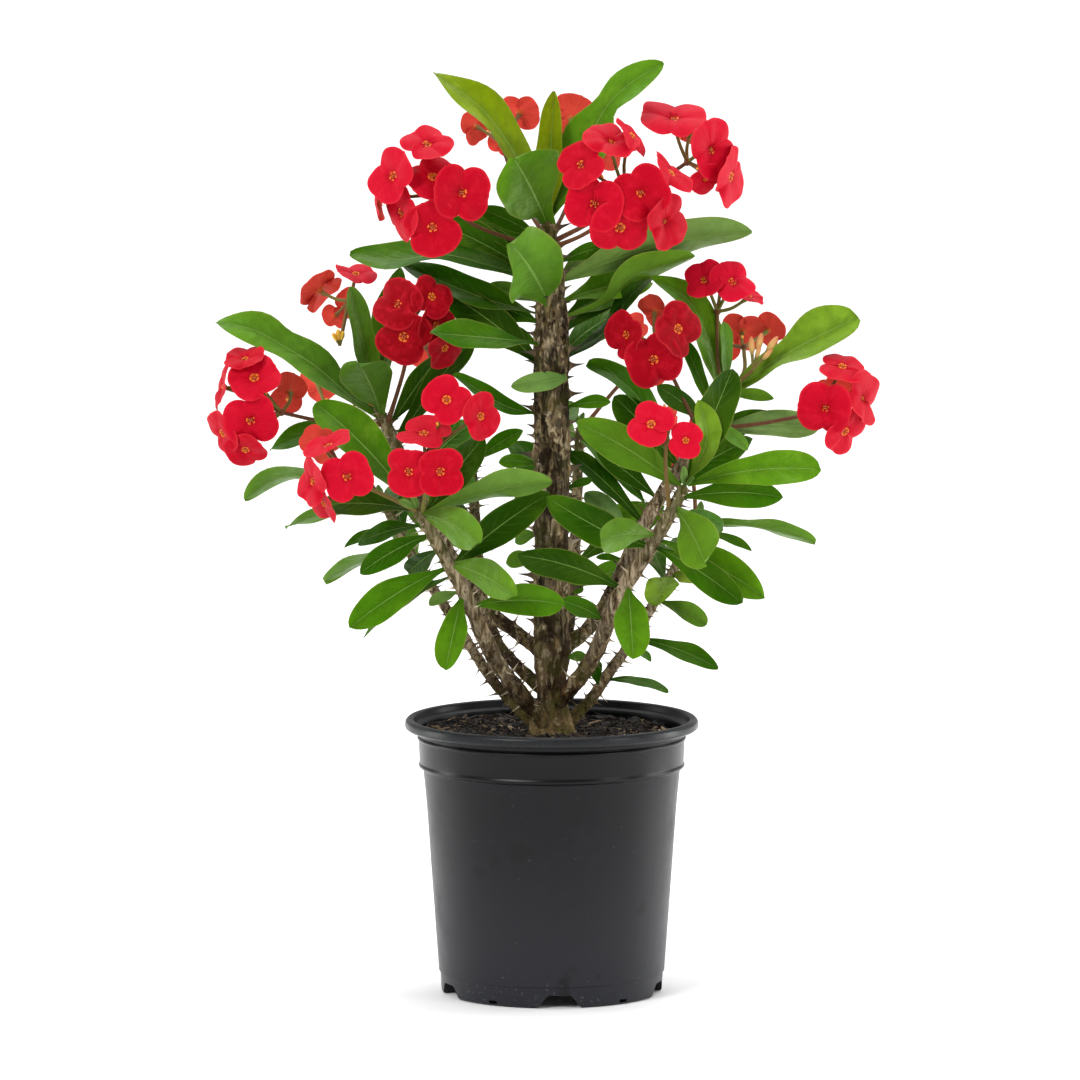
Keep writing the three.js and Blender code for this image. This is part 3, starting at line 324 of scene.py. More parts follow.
# Bunches of flowers: the stem it grows from, its stalk's points from the stem to the fork, and its flowers. A
# flower is [x, h, across, degrees it is turned to the right of the viewer, degrees it looks up, any lean].
BUNCHES = {
  "a": ("main", [[-4, 420, 0], [-47, 437, -28], [-60, 452, -39]], [
    [-70, 479, 30, 0, 55], [-88, 462, 32, -42, 12], [-67, 461, 30, 10, 40], [-51, 453, 35, 15, 5],
    [-67, 434, 34, 0, -15], [-83, 442, 33, -55, -10], [-97, 449, 24, -95, -10],
  ]),
  "b": ("main", [[3, 421, 0], [22, 432, -20], [42, 452, -35]], [
    [17, 468, 30, -25, 25], [33, 480, 32, 10, 60], [24, 447, 34, -5, 0], [50, 453, 33, 5, 5],
    [38, 434, 34, 0, -20], [62, 437, 32, 45, -5], [66, 463, 30, 70, 40], [44, 484, 26, 70, 35],
  ]),
  "c": ("main", [[2, 424, 3], [40, 446, 22], [76, 470, 25]], [
    [68, 493, 38, -8, 62, 0], [78, 487, 26, 150, 30], [88, 477, 35, 38, 10], [99, 462, 35, 68, -10],
    [86, 462, 22, 30, -30],
  ]),
  "d": ("main", [[-4, 426, 4], [-18, 452, 34], [-28, 480, 56]], [
    [-42, 490, 22, -140, 10], [-18, 497, 24, 170, 20], [-27, 482, 18, 180, -10],
  ]),
  "e": ("main", [[2, 424, 4], [10, 450, 28], [15, 478, 49]], [
    [11, 494, 30, 165, 15], [30, 478, 26, 120, 0], [4, 474, 26, 200, -10],
  ]),
  "f": ("left", [[-98, 332, 28], [-106, 360, 36], [-114, 392, 42]], [
    [-110, 406, 24, 20, 65], [-129, 397, 30, -140, 30, 30], [-121, 384, 16, -150, -30],
    [-113, 391, 18, 170, 0],
  ]),
  "i": ("left", [[-91, 322, 27], [-82, 358, 8], [-80, 378, 0]], [
    [-86, 390, 30, -20, 15], [-83, 372, 33, -3, -3], [-68, 394, 26, 30, 20], [-66, 378, 28, 45, 0],
    [-61, 366, 26, 40, -20],
  ]),
  "j": ("left", [[-96, 321, 27], [-128, 324, 14], [-152, 329, 7]], [
    [-167, 348, 30, -5, 35], [-169, 325, 32, 0, -5], [-183, 343, 27, -75, 10], [-184, 318, 27, -55, -20],
    [-172, 309, 25, -10, -35], [-172, 358, 24, -30, 60], [-147, 340, 24, -150, 0],
  ]),
  "k": ("front_left", [[-76, 272, -48], [-98, 284, -50], [-112, 290, -53]], [
    [-115, 293, 30, 0, 0, 15], [-133, 290, 28, -55, 0], [-127, 278, 25, -62, -25], [-125, 309, 30, -60, 60],
    [-132, 313, 20, -160, 20],
  ]),
  "m": ("front_left", [[-73, 270, -48], [-71, 288, -56], [-71, 304, -62]], [
    [-59, 336, 28, -5, 15], [-41, 327, 27, 35, 5], [-72, 316, 31, 0, 65], [-80, 296, 29, -15, -5, 88],
    [-63, 296, 29, 12, -5, 92],
  ]),
  "p": ("front_right", [[66, 272, -45], [64, 298, -56], [64, 312, -59]], [
    [56, 322, 27, -10, 20, 60], [75, 313, 21, 10, 15, 75],
  ]),
  "q": ("right", [[88, 319, 22], [112, 322, 12], [146, 328, 0]], [
    [154, 332, 32, -15, 0], [163, 354, 28, 20, 60], [173, 337, 32, 60, 10], [164, 319, 29, 40, -25],
    [160, 340, 26, 160, 10],
  ]),
  "r": ("right", [[96, 336, 22], [93, 362, 20], [93, 386, 20]], [
    [86, 403, 25, -25, 40], [95, 405, 20, 0, 60], [101, 402, 27, 15, 35], [110, 394, 19, 60, 55],
  ]),
  "s": ("right", [[97, 339, 22], [108, 352, 36], [108, 366, 48]], [
    [107, 374, 26, 170, 20], [121, 375, 22, 150, 20], [96, 368, 24, 190, 0],
  ]),
  "t": ("right", [[84, 316, 22], [70, 345, 6], [60, 366, -3]], [
    [70, 376, 32, 35, 10], [57, 359, 33, 0, -5], [43, 373, 28, -45, 5], [58, 386, 22, 150, 30],
  ]),
  "u": ("far_left", [[-92, 272, 81], [-108, 300, 101], [-120, 324, 115]], [
    [-131, 345, 24, 160, 15], [-129, 313, 27, -150, -20], [-104, 341, 22, 180, 10],
  ]),
  "v": ("back_left", [[-46, 308, 101], [-60, 338, 118], [-70, 366, 129]], [
    [-83, 386, 24, -140, 35], [-64, 388, 24, 140, 25], [-73, 367, 25, 180, -10],
  ]),
  "w": ("back", [[15, 318, 101], [34, 340, 120], [50, 358, 132]], [
    [46, 374, 24, -140, 25], [67, 375, 24, 140, 20], [57, 356, 24, 180, -10],
  ]),
  "x": ("far_right", [[82, 262, 78], [80, 288, 98], [76, 308, 112]], [
    [65, 323, 22, -140, 20], [86, 322, 22, 140, 15], [75, 306, 24, 180, -10],
  ]),
}
# How bright a bunch's red is painted for the light or shade it stands in, where it isn't the usual, and how
# green its stalk is
RED_AS_LIT = 0.55
REDS_AS_LIT = {
  "a": 0.6, "c": 0.65, "d": 0.8, "e": 0.6, "f": 0.7, "i": 0.1, "j": 0.6, "k": 0.6, "p": 0.75, "r": 0.85,
  "s": 0.8, "t": 0.15,
}
GREEN = 0.25
GREENS = {"k": 0.7, "m": 0.9, "p": 0.6, "r": 0.55, "s": 0.7}
# Buds that stand apart, where their stalk forks, and its root if that isn't the bunch's fork. Each bud is [x,
# h of its tip, length, tone, 1 if it is still tightly closed].
BUDS = {
  "f": {
    "fork": [-119, 367, 38],
    "buds": [[-123, 374, 6, 1, 0], [-120, 376, 7, 0.97, 0], [-117, 375, 6, 1, 0]],
  },
  "p": {"fork": [66, 320, -58], "buds": [[63, 334, 7, 0.5, 1]]},
  "s": {
    "root": [99, 341, 22], "fork": [113, 353, 8], "buds": [
      [112, 372, 11, 0.6, 1], [118, 374, 11, 0.6, 1], [127, 372, 11, 0.6, 1], [124, 365, 9, 0.6, 1],
      [117, 367, 8, 0.6, 1],
    ],
  },
}


# ---- layout ----
def seen(x, h, depth):
    """The point at that depth which hides behind the reading [x, h] for the standing viewer."""
    t = depth / STANDING_EYE
    return np.array([x * (1 + t), depth, h + (h - EYE_HEIGHT) * t], float)


def lerp(a, b, t):
    return a + (b - a) * t


def unit(v):
    """The vector, or each row of vectors, at a length of one."""
    return v / np.maximum(np.linalg.norm(v, axis=-1, keepdims=True), 1e-9)


def bearing_out(turn):
    """The level way that a bearing in radians from -Y to +X points."""
    return np.array([math.sin(turn), -math.cos(turn), 0.0])


def circle(r, sides):
    turns = [2 * math.pi * k / sides for k in range(sides)]
    return [(r * math.cos(turn), r * math.sin(turn)) for turn in turns]


def bend(start, middle, end, count):
    """A curve from start to end, drawn towards middle."""
    t = np.linspace(0, 1, count)[:, None]
    return (1 - t) ** 2 * start + 2 * t * (1 - t) * middle + t ** 2 * end


def smooth_curve(points, steps=24):
    """A Catmull-Rom curve with centripetal knots through points."""
    points = [np.asarray(p, float) for p in points]
    points = [2 * points[0] - points[1], *points, 2 * points[-1] - points[-2]]
    out = []
    for p0, p1, p2, p3 in zip(points, points[1:], points[2:], points[3:]):
        k1 = max(np.linalg.norm(p1 - p0), 1e-6) ** 0.5
        k2 = k1 + max(np.linalg.norm(p2 - p1), 1e-6) ** 0.5
        k3 = k2 + max(np.linalg.norm(p3 - p2), 1e-6) ** 0.5
        for t in np.linspace(k1, k2, steps, endpoint=False):
            middle = lerp(p1, p2, (t - k1) / (k2 - k1))
            before = lerp(lerp(p0, p1, t / k1), middle, t / k2)
            after = lerp(middle, lerp(p2, p3, (t - k2) / (k3 - k2)), (t - k1) / (k3 - k1))
            out.append(lerp(before, after, (t - k1) / (k2 - k1)))
    return np.array([*out, points[-2]])


def walk(points):
    """How far along points each of them is."""
    return np.concatenate([[0], np.cumsum(np.linalg.norm(np.diff(points, axis=0), axis=1))])


def spread(curve, shares):
    """The rows at those shares of the way along a curve; a row may hold more than x, y and z."""
    walked = walk(curve[:, :3])
    return np.stack([np.interp(shares * walked[-1], walked, row) for row in curve.T], axis=1)


def stem_axis(stem, step):
    """A stem's smooth axis at about that step, with its radius at each point."""
    path, radii = stem
    curve = smooth_curve([seen(*p) for p in path], 12)
    radii = np.interp(np.linspace(0, len(path) - 1, len(curve)), range(len(path)), radii)
    count = max(4, int(walk(curve)[-1] / step))
    rows = spread(np.column_stack([curve, radii]), np.linspace(0, 1, count))
    return rows[:, :3], rows[:, 3]


def nearest_on_stem(stem, x, h):
    """The reading on the stem's axis nearest to [x, h], and the radius there."""
    rows = np.column_stack(stem)
    found = []
    for a, b in zip(rows, rows[1:]):
        way = (b - a)[:2]
        along = (np.array([x, h]) - a[:2]) @ way / (way @ way)
        found.append(lerp(a, b, min(1.0, max(0.0, along))))
    best = min(found, key=lambda row: math.hypot(x - row[0], h - row[1]))
    return best[:3], best[3]


def stem_at_height(stem, h):
    """The reading on the stem's axis at that height, and the radius there."""
    rows = np.column_stack(stem)
    found = [np.interp(h, rows[:, 1], row) for row in rows.T]
    return found[:3], found[3]


def frames_along(points):
    """Unit tangents along points, and two turning axes that are carried along without twist."""
    along = unit(np.gradient(points, axis=0))
    across = np.array([0.0, 1.0, 0.0]) if abs(along[0][0]) > 0.8 else np.array([1.0, 0.0, 0.0])
    first = []
    for t in along:
        across = unit(across - t * across.dot(t))
        first.append(across)
    return along, np.array(first), np.cross(along, first)


# ---- mesh building ----
def tube_faces(rows, sides):
    """The faces of a closed tube of rings, one after another."""
    faces = [tuple(range(sides))[::-1], tuple(range((rows - 1) * sides, rows * sides))]
    for here in range(0, (rows - 1) * sides, sides):
        for k in range(sides):
            j = (k + 1) % sides
            faces.append((here + k, here + j, here + sides + j, here + sides + k))
    return faces


def link(name, data):
    made = bpy.data.objects.new(name, data)
    bpy.context.scene.collection.objects.link(made)
    return made


def new_mesh(name, points, faces):
    mesh = bpy.data.meshes.new(name)
    mesh.from_pydata(points, [], faces)
    mesh.update()
    return mesh


def packed(points):
    """Points in millimetres round the pot's axis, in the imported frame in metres."""
    return (np.asarray(points) * MM + AXIS).tolist()


def smooth(mesh, degrees):
    """Smooths a mesh but for edges sharper than that."""
    mesh.polygons.foreach_set("use_smooth", np.ones(len(mesh.polygons), bool))
    mesh.set_sharp_from_angle(angle=math.radians(degrees))


class Builder:
    """Collects points and faces, in millimetres round the pot's axis, and makes one object of them. A tint is
    (tone, chance, upper side), which some materials read otherwise; kind is the material's index."""

    def __init__(self):
        self.points, self.faces, self.uvs, self.tints, self.kinds = [], [], [], [], []
        self.count = 0

    def add(self, points, faces, uv, tint, kind=0):
        """uv and tint are for every point, or one for all; a tint may be just its tone."""
        points = np.asarray(points, float).reshape(-1, 3)
        tint = (tint, 0.5, 1) if np.isscalar(tint) else tint
        total = len(points)
        self.points.append(points)
        self.uvs.append(np.broadcast_to(np.asarray(uv, float), (total, 2)))
        self.tints.append(np.broadcast_to(np.asarray(tint, float), (total, 3)))
        self.faces.extend([tuple(int(i) + self.count for i in face) for face in faces])
        self.kinds.extend([kind] * len(faces))
        self.count += total

    def tube(self, points, radii, sides, kind, tint, relief=None):
        points = np.asarray(points, float)
        radii = np.asarray(radii, float)[:, None]
        _, a, b = frames_along(points)
        angle = np.linspace(0, 2 * math.pi, sides, endpoint=False)[:, None]
        out = a[:, None] * np.cos(angle) + b[:, None] * np.sin(angle)
        ring = points[:, None] + out * radii[..., None]
        if relief:
            ring = ring + out * relief(ring, radii)[..., None]
        v = np.repeat(np.linspace(0, 1, len(points)), sides)
        u = np.tile(np.arange(sides) / sides, len(points))
        self.add(ring, tube_faces(len(points), sides), np.stack([u, v], axis=1), tint, kind)

    def shell(self, sheet, upward, half, uv, tone, chance, pointed=False):
        """A closed thin blade round a grid of points: its upper side, its underside and the strip round its
        rim. upward is roughly where its upper side faces. A pointed blade's last row faces as the one
        before."""
        normals = unit(np.cross(np.gradient(sheet, axis=1), np.gradient(sheet, axis=0)))
        if pointed:
            normals[-1] = normals[-2]
        if (normals * upward).sum() < 0:
            normals = -normals
        if np.cross(sheet[2, 1] - sheet[2, 0], sheet[3, 0] - sheet[2, 0]).dot(normals[2, 0]) < 0:
            sheet, normals, uv = sheet[:, ::-1], normals[:, ::-1], uv[:, ::-1]
        points = np.stack([sheet + normals * half[..., None], sheet - normals * half[..., None]])
        rows, cols = sheet.shape[:2]
        size = rows * cols
        index = np.arange(size).reshape(rows, cols)
        quads = np.stack([index[:-1, :-1], index[:-1, 1:], index[1:, 1:], index[1:, :-1]], axis=-1)
        quads = quads.reshape(-1, 4)
        faces = [*quads, *(quads[:, ::-1] + size)]
        rim = [*index[0], *index[1:, -1], *index[-1, -2::-1], *index[-2:0:-1, 0]]
        faces += [(q, p, p + size, q + size) for p, q in zip(rim, rim[1:] + rim[:1])]
        tints = np.repeat([(tone, chance, 1), (tone, chance, 0)], size, axis=0)
        self.add(points, faces, np.concatenate([uv.reshape(-1, 2)] * 2), tints)

    def blob(self, centre, size, axes, kind, tint, rows=7, sides=10):
        """A closed egg of three half-sizes along three axes."""
        polar = np.pi * np.arange(1, rows)[:, None] / rows
        turn = 2 * np.pi * np.arange(sides) / sides
        ring = np.broadcast_arrays(np.sin(polar) * np.cos(turn), np.sin(polar) * np.sin(turn), np.cos(polar))
        points = np.concatenate([[[0, 0, 1]], np.stack(ring, axis=-1).reshape(-1, 3), [[0, 0, -1]]])
        up = np.concatenate([[1], np.repeat(1 - np.arange(1, rows) / rows, sides), [0]])
        last = len(points) - 1
        faces = []
        for k in range(sides):
            j = (k + 1) % sides
            faces += [(0, 1 + k, 1 + j), (last, last - sides + j, last - sides + k)]
            faces += [(a + k, a + sides + k, a + sides + j, a + j) for a in range(1, last - sides, sides)]
        uv = np.stack([np.full(len(up), 0.5), up], axis=1)
        self.add(centre + points * size @ np.array(axes), faces, uv, tint, kind)

    def piece(self, name, materials, slot, *nodes):
        """Makes the object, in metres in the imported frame."""
        mesh = new_mesh(name, packed(np.concatenate(self.points)), self.faces)
        loops = np.zeros(len(mesh.loops), np.int32)
        mesh.loops.foreach_get("vertex_index", loops)
        layer = mesh.uv_layers.new(name="UVMap")
        layer.data.foreach_set("uv", np.concatenate(self.uvs)[loops].astype(np.float32).ravel())
        tint = mesh.color_attributes.new(name="tint", type="FLOAT_COLOR", domain="POINT")
        colours = np.ones((self.count, 4), np.float32)
        colours[:, :3] = np.concatenate(self.tints)
        tint.data.foreach_set("color", colours.ravel())
        for material in materials:
            mesh.materials.append(material)
        mesh.polygons.foreach_set("material_index", np.array(self.kinds, np.int32))
        smooth(mesh, CREASE)
        mesh.validate()
        piece = link(name, mesh)
        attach(piece, "root")
        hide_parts(*nodes)


# ---- materials ----
class Wire:
    """What comes out of a material's node, to be reckoned with as a number is."""

    def __init__(self, nodes, socket):
        self.nodes = nodes
        self.socket = socket

    def __add__(self, other):
        return self.nodes.math("ADD", self, other)

    def __sub__(self, other):
        return self.nodes.math("SUBTRACT", self, other)

    def __rsub__(self, other):
        return self.nodes.math("SUBTRACT", other, self)

    def __mul__(self, other):
        return self.nodes.math("MULTIPLY", self, other)

    def __truediv__(self, other):
        return self.nodes.math("DIVIDE", self, other)


class Nodes:
    """Short ways to write a material's nodes. Its colour is built up by painting one layer over another."""

    def __init__(self, name):
        self.material = bpy.data.materials.new(name)
        self.material.use_nodes = True
        self.tree = self.material.node_tree
        self.bsdf = self.tree.nodes["Principled BSDF"]
        self.colour = None

    def put(self, socket, value):
        if isinstance(value, Wire):
            self.tree.links.new(value.socket, socket)
        else:
            socket.default_value = (*value, 1.0) if socket.type == "RGBA" else value

    def make(self, kind, inputs, output=0, **settings):
        """A node with those settings and inputs, and one of its outputs."""
        node = self.tree.nodes.new(kind)
        for key, value in settings.items():
            setattr(node, key, value)
        for key, value in inputs.items():
            self.put(node.inputs[key], value)
        return Wire(self, node.outputs[output])

    def math(self, operation, a, b=0.0, clamp=False):
        return self.make("ShaderNodeMath", {0: a, 1: b}, operation=operation, use_clamp=clamp)

    def step(self, value, low, high, to_low=0.0, to_high=1.0):
        """Goes smoothly from to_low to to_high while value goes from low to high."""
        inputs = {"Value": value, "From Min": low, "From Max": high, "To Min": to_low, "To Max": to_high}
        return self.make("ShaderNodeMapRange", inputs, interpolation_type="SMOOTHSTEP")

    def mix(self, share, a, b):
        return self.make("ShaderNodeMix", {0: share, 6: a, 7: b}, 2, data_type="RGBA")

    def over(self, share, colour):
        """Paints a share of colour over what is there."""
        self.colour = self.mix(share, self.colour, colour)

    def ramp(self, value, *stops):
        """A colour by value. A stop is its place, then its red, green and blue."""
        made = self.make("ShaderNodeValToRGB", {0: value})
        elements = made.socket.node.color_ramp.elements
        while len(elements) < len(stops):
            elements.new(0.5)
        for element, (at, *colour) in zip(elements, stops):
            element.position = at
            element.color = (*colour, 1.0)
        return made

    def noise(self, vector, scale, detail=4.0, rough=0.55, distortion=0.0):
        inputs = {"Vector": vector, "Scale": scale, "Detail": detail, "Roughness": rough}
        return self.make("ShaderNodeTexNoise", {**inputs, "Distortion": distortion}, "Fac")

    def cells(self, vector, scale):
        return self.make("ShaderNodeTexVoronoi", {"Vector": vector, "Scale": scale}, "Distance")

    def place(self, scale=(1, 1, 1)):
        where = self.make("ShaderNodeTexCoord", {}, "Object")
        return self.make("ShaderNodeMapping", {"Vector": where, "Scale": scale})

    def parts(self, kind, source):
        """The three numbers of a place or a colour."""
        node = self.make(kind, {0: source}).socket.node
        return [Wire(self, node.outputs[k]) for k in range(3)]

    def at_height(self, low, high, to_low=0.0, to_high=1.0):
        """A step between two heights over the floor, in millimetres."""
        where = self.parts("ShaderNodeSeparateXYZ", self.make("ShaderNodeTexCoord", {}, "Object"))
        return self.step(where[2], low * MM, high * MM, to_low, to_high)

    def uv(self):
        return self.parts("ShaderNodeSeparateXYZ", self.make("ShaderNodeTexCoord", {}, "UV"))[:2]

    def tint(self):
        colour = self.make("ShaderNodeAttribute", {}, "Color", attribute_name="tint")
        return self.parts("ShaderNodeSeparateColor", colour)

    def done(self, relief=None, strength=0.0, distance=0.0, **values):
        """The material, with its colour, its relief and the shader's own values set."""
        if relief:
            inputs = {"Height": relief, "Strength": strength, "Distance": distance}
            values["Normal"] = self.make("ShaderNodeBump", inputs)
        values["Base Color"] = self.colour
        for key, value in values.items():
            self.put(self.bsdf.inputs[key.replace("_", " ")], value)
        return self.material


def leaf_material():
    """Waxy leaf: tone by leaf, partly painted light, painted shade towards the root and along the rib's fold,
    pale rib and side veins, duller underside, thin yellow edge, mottling.
    """
    m = Nodes("leaf_blade")
    u, v = m.uv()
    tone, _, upper = m.tint()
    place = m.place()
    # by tone: the dark end is painted shade, and the bluish grey stop near 0.88 is a painted sky reflection
    # on the palest leaves
    m.colour = m.ramp(
        tone, (0, 0.005, 0.024, 0.001), (0.3, 0.014, 0.062, 0.001), (0.55, 0.036, 0.138, 0.002),
        (0.7, 0.08, 0.212, 0.004), (0.8, 0.098, 0.236, 0.026), (0.88, 0.165, 0.275, 0.085),
        (0.94, 0.15, 0.28, 0.004), (1, 0.19, 0.24, 0.003),
    )
    mottle = m.noise(place, 120, 5, 0.6)
    m.over(m.step(mottle, 0.35, 0.7, 0, 0.55), m.mix(0.5, m.colour, (0.004, 0.03, 0.002)))
    m.over(m.step(m.noise(place, 26, 2), 0.42, 0.7, 0, 0.5), m.mix(0.5, m.colour, (0.1, 0.2, 0.008)))
    # painted shade: the blade is darker towards its root and along its rib, where it folds and meets the stem
    m.over(m.step(v, 0, 0.6, 0.6, 0), m.mix(0.7, m.colour, (0.006, 0.03, 0.002)))
    side = m.math("ABSOLUTE", u * 2 - 1)
    m.over(m.step(side, 0, 0.5, 0.35, 0), m.mix(0.7, m.colour, (0.008, 0.035, 0.002)))
    rib = m.math("SUBTRACT", 1, side / m.step(v, 0, 1, 0.07, 0.028), True)
    wave = m.math("ABSOLUTE", m.math("SINE", v * 26 - side * 7 + mottle * 2))
    veins = m.step(wave, 0.9, 1) * m.step(side, 0.06, 0.9, 1, 0)
    m.over(veins * 0.1, (0.13, 0.28, 0.05))
    m.over(rib * 0.85, (0.19, 0.34, 0.07))
    m.colour = m.mix(upper, m.mix(0.32, m.colour, (0.105, 0.19, 0.017)), m.colour)
    m.over(m.step(side, 0.92, 1) * 0.5, (0.22, 0.25, 0.05))
    m.over(m.step(m.noise(place, 260, 3), 0.72, 0.8) * 0.5, (0.16, 0.14, 0.03))
    relief = rib * -0.6 + veins * -0.4 + mottle * 0.8 + m.noise(place, 75, 2) * 3
    return m.done(
        relief, 0.5, 0.001, Roughness=m.step(mottle, 0.3, 0.8, 0.34, 0.5), Specular_IOR_Level=0.15,
        Specular_Tint=(0.8, 1, 0.12), Subsurface_Weight=0.04, Subsurface_Radius=(0.5, 1, 0.25),
        Subsurface_Scale=0.0015,
    )


def bark_material():
    """Bark: painted shade in the hollows, pale wavy ridges along the stem painted as highlights, tan knobs, a
    painted highlight on the mound under each thorn, mossy patches, green young ends.
    """
    m = Nodes("stem_bark")
    young, mound, pale = m.tint()
    place = m.place()
    body = m.noise(m.place((1, 1, 0.32)), 150, 6, 0.68, 0.8)
    m.colour = m.ramp(
        body, (0.45, 0.005, 0.003, 0.001), (0.51, 0.026, 0.016, 0.004), (0.57, 0.112, 0.076, 0.026),
        (0.65, 0.39, 0.29, 0.145),
    )
    # thin pale ridges where a smooth noise crosses its middle, a painted highlight on the ridges that the
    # relief raises
    wave = m.math("ABSOLUTE", m.noise(m.place((1, 1, 0.22)), 120, 2, 0.5, 1) - 0.5)
    ridge = m.step(wave, 0, 0.08, 1, 0) * m.step(m.noise(place, 190, 4), 0.46, 0.6)
    m.over(ridge * 0.95, (0.62, 0.5, 0.3))
    knob = m.step(m.cells(m.place((1, 1, 0.8)), 105), 0.12, 0.34, 1, 0)
    knob = knob * m.step(m.noise(place, 420, 4), 0.38, 0.58)
    m.over(knob * 0.8, (0.64, 0.51, 0.34))
    fibre = m.noise(m.place((1, 1, 0.14)), 380, 5, 0.65, 0.6)
    bare = m.ramp(
        fibre, (0.38, 0.04, 0.025, 0.012), (0.47, 0.19, 0.135, 0.075), (0.6, 0.6, 0.48, 0.33),
    )
    m.over(pale * 0.8, bare)
    # painted highlight: tan on the raised mound under each thorn
    m.over(mound * m.step(fibre, 0.42, 0.6, 0.15, 0.8), (0.42, 0.33, 0.17))
    # painted shade: the bark is darkened in its hollows, which the relief also sinks
    shaded_hollow = m.step(m.noise(m.place((1, 1, 0.45)), 75, 5, 0.6), 0.51, 0.56, 0, 0.9)
    shaded_hollow = shaded_hollow * m.step(pale, 0.2, 0.9, 1, 0.45)
    m.over(shaded_hollow, m.mix(0.14, (0.01, 0.005, 0.002), m.colour))
    # low down the bark is smoother and browner, and palest at the root crown
    lower = m.at_height(SOIL_TOP + 19, SOIL_TOP + 89, 0.62, 0) * (1 - pale)
    m.over(lower, m.ramp(
        m.noise(m.place((1, 1, 0.5)), 90, 5, 0.6, 0.5),
        (0.38, 0.02, 0.011, 0.005), (0.52, 0.075, 0.04, 0.016), (0.68, 0.2, 0.125, 0.055),
    ))
    crown = m.at_height(SOIL_TOP + 2, SOIL_TOP + 22, 0.75, 0)
    m.over(crown * m.step(body, 0.4, 0.6, 0.4, 1), (0.3, 0.215, 0.09))
    moss = m.step(m.noise(place, 60, 4), 0.5, 0.64) * m.step(pale, 0, 0.6, 0.55, 0.2)
    m.over(moss, (0.075, 0.08, 0.016))
    m.over(young * 0.7, (0.095, 0.11, 0.022))
    relief = body * 0.9 + fibre * 0.6 + (ridge + knob) * 0.35 - shaded_hollow * 0.5
    return m.done(relief, 1, 0.0036, Roughness=0.85, Specular_IOR_Level=0.06)


def thorn_material():
    """Horny thorn, tan at its foot; some are dark brown to their points and some are bleached."""
    m = Nodes("thorn_horn")
    _, v = m.uv()
    tone, _, _ = m.tint()
    speck = m.noise(m.place(), 420, 3)
    dark = m.ramp(
        v, (0, 0.2, 0.14, 0.07), (0.2, 0.08, 0.05, 0.024), (0.55, 0.026, 0.015, 0.009),
        (1, 0.01, 0.006, 0.005),
    )
    bleached = m.ramp(v, (0, 0.34, 0.27, 0.17), (0.5, 0.5, 0.42, 0.31), (1, 0.22, 0.15, 0.1))
    m.colour = m.mix(tone, dark, bleached)
    m.over(m.step(speck, 0.5, 0.75, 0, 0.4), (0.1, 0.07, 0.04))
    return m.done(speck, 0.3, 0.0005, Roughness=0.6, Specular_IOR_Level=0.14)


def stalk_material():
    """Flower stalk: olive to brown-red skin with fine streaks."""
    m = Nodes("flower_stalk")
    tone, _, _ = m.tint()
    streak = m.noise(m.place(), 300, 4)
    m.colour = m.ramp(
        tone, (0, 0.06, 0.02, 0.012), (0.45, 0.15, 0.062, 0.024), (1, 0.15, 0.18, 0.035),
    )
    m.over(m.step(streak, 0.45, 0.7, 0, 0.5), (0.17, 0.08, 0.035))
    return m.done(streak, 0.25, 0.0004, Roughness=0.6, Specular_IOR_Level=0.14)


def bract_material():
    """Flower bract: velvety red, with fine veins that fan from the cup, painted shade in the throat, a
    painted highlight along the rim, and a back painted bright orange-red as light shining through it."""
    m = Nodes("flower_bract")
    u, v = m.uv()
    tone, _, upper = m.tint()
    soft = m.noise(m.place(), 220, 4)
    # by tone, which holds each bunch's painted light or shade
    m.colour = m.ramp(
        tone, (0, 0.25, 0, 0.004), (0.5, 0.425, 0, 0.011), (1, 0.58, 0.003, 0.024),
    )
    fan = m.math("SINE", u * 85 + soft * 6)
    fan = m.step(fan, 0.5, 1) * m.step(v, 0.1, 0.9, 0.5, 0.1)
    m.over(fan, (0.36, 0, 0.006))
    m.over(m.step(soft, 0.45, 0.75, 0, 0.4), (0.62, 0.01, 0.028))
    # painted shade in the throat: darker red towards the cup
    m.over(m.step(v, 0.05, 0.4, 0.65, 0), (0.3, 0, 0.004))
    # painted highlight along the rim
    m.over(m.step(v, 0.88, 1, 0, 0.3), (0.72, 0.03, 0.045))
    # the back is painted a bright orange-red as light shining through the bract
    m.colour = m.mix(upper, m.mix(fan * 0.5 + 0.45, m.colour, (0.9, 0.13, 0.07)), m.colour)
    return m.done(
        fan * -0.5 + soft, 0.3, 0.0006, Roughness=0.6, Specular_IOR_Level=0.16,
        Specular_Tint=(1, 0.35, 0.4), Subsurface_Weight=0.05, Subsurface_Radius=(1, 0.15, 0.12),
        Subsurface_Scale=0.0012,
    )


def cup_material():
    """The flower's middle, by tone: dark red cup, orange glands, yellow anthers. Closed buds are tan with
    green feet."""
    m = Nodes("flower_cup")
    tone, closed, _ = m.tint()
    _, v = m.uv()
    speck = m.noise(m.place(), 600, 3)
    m.colour = m.ramp(
        tone, (0, 0.14, 0.006, 0.003), (0.3, 0.36, 0.012, 0.004), (0.7, 0.78, 0.2, 0.012),
        (1, 0.85, 0.5, 0.06),
    )
    m.over(m.step(speck, 0.45, 0.7, 0, 0.35), (0.62, 0.1, 0.01))
    bud = m.ramp(v, (0.15, 0.22, 0.2, 0.045), (0.5, 0.62, 0.36, 0.11), (0.95, 0.55, 0.13, 0.06))
    bud = m.mix(m.step(speck, 0.4, 0.7, 0, 0.5), bud, (0.6, 0.26, 0.12))
    m.over(m.step(closed, 0.7, 0.9), bud)
    return m.done(speck, 0.2, 0.0003, Roughness=0.45, Specular_IOR_Level=0.3)


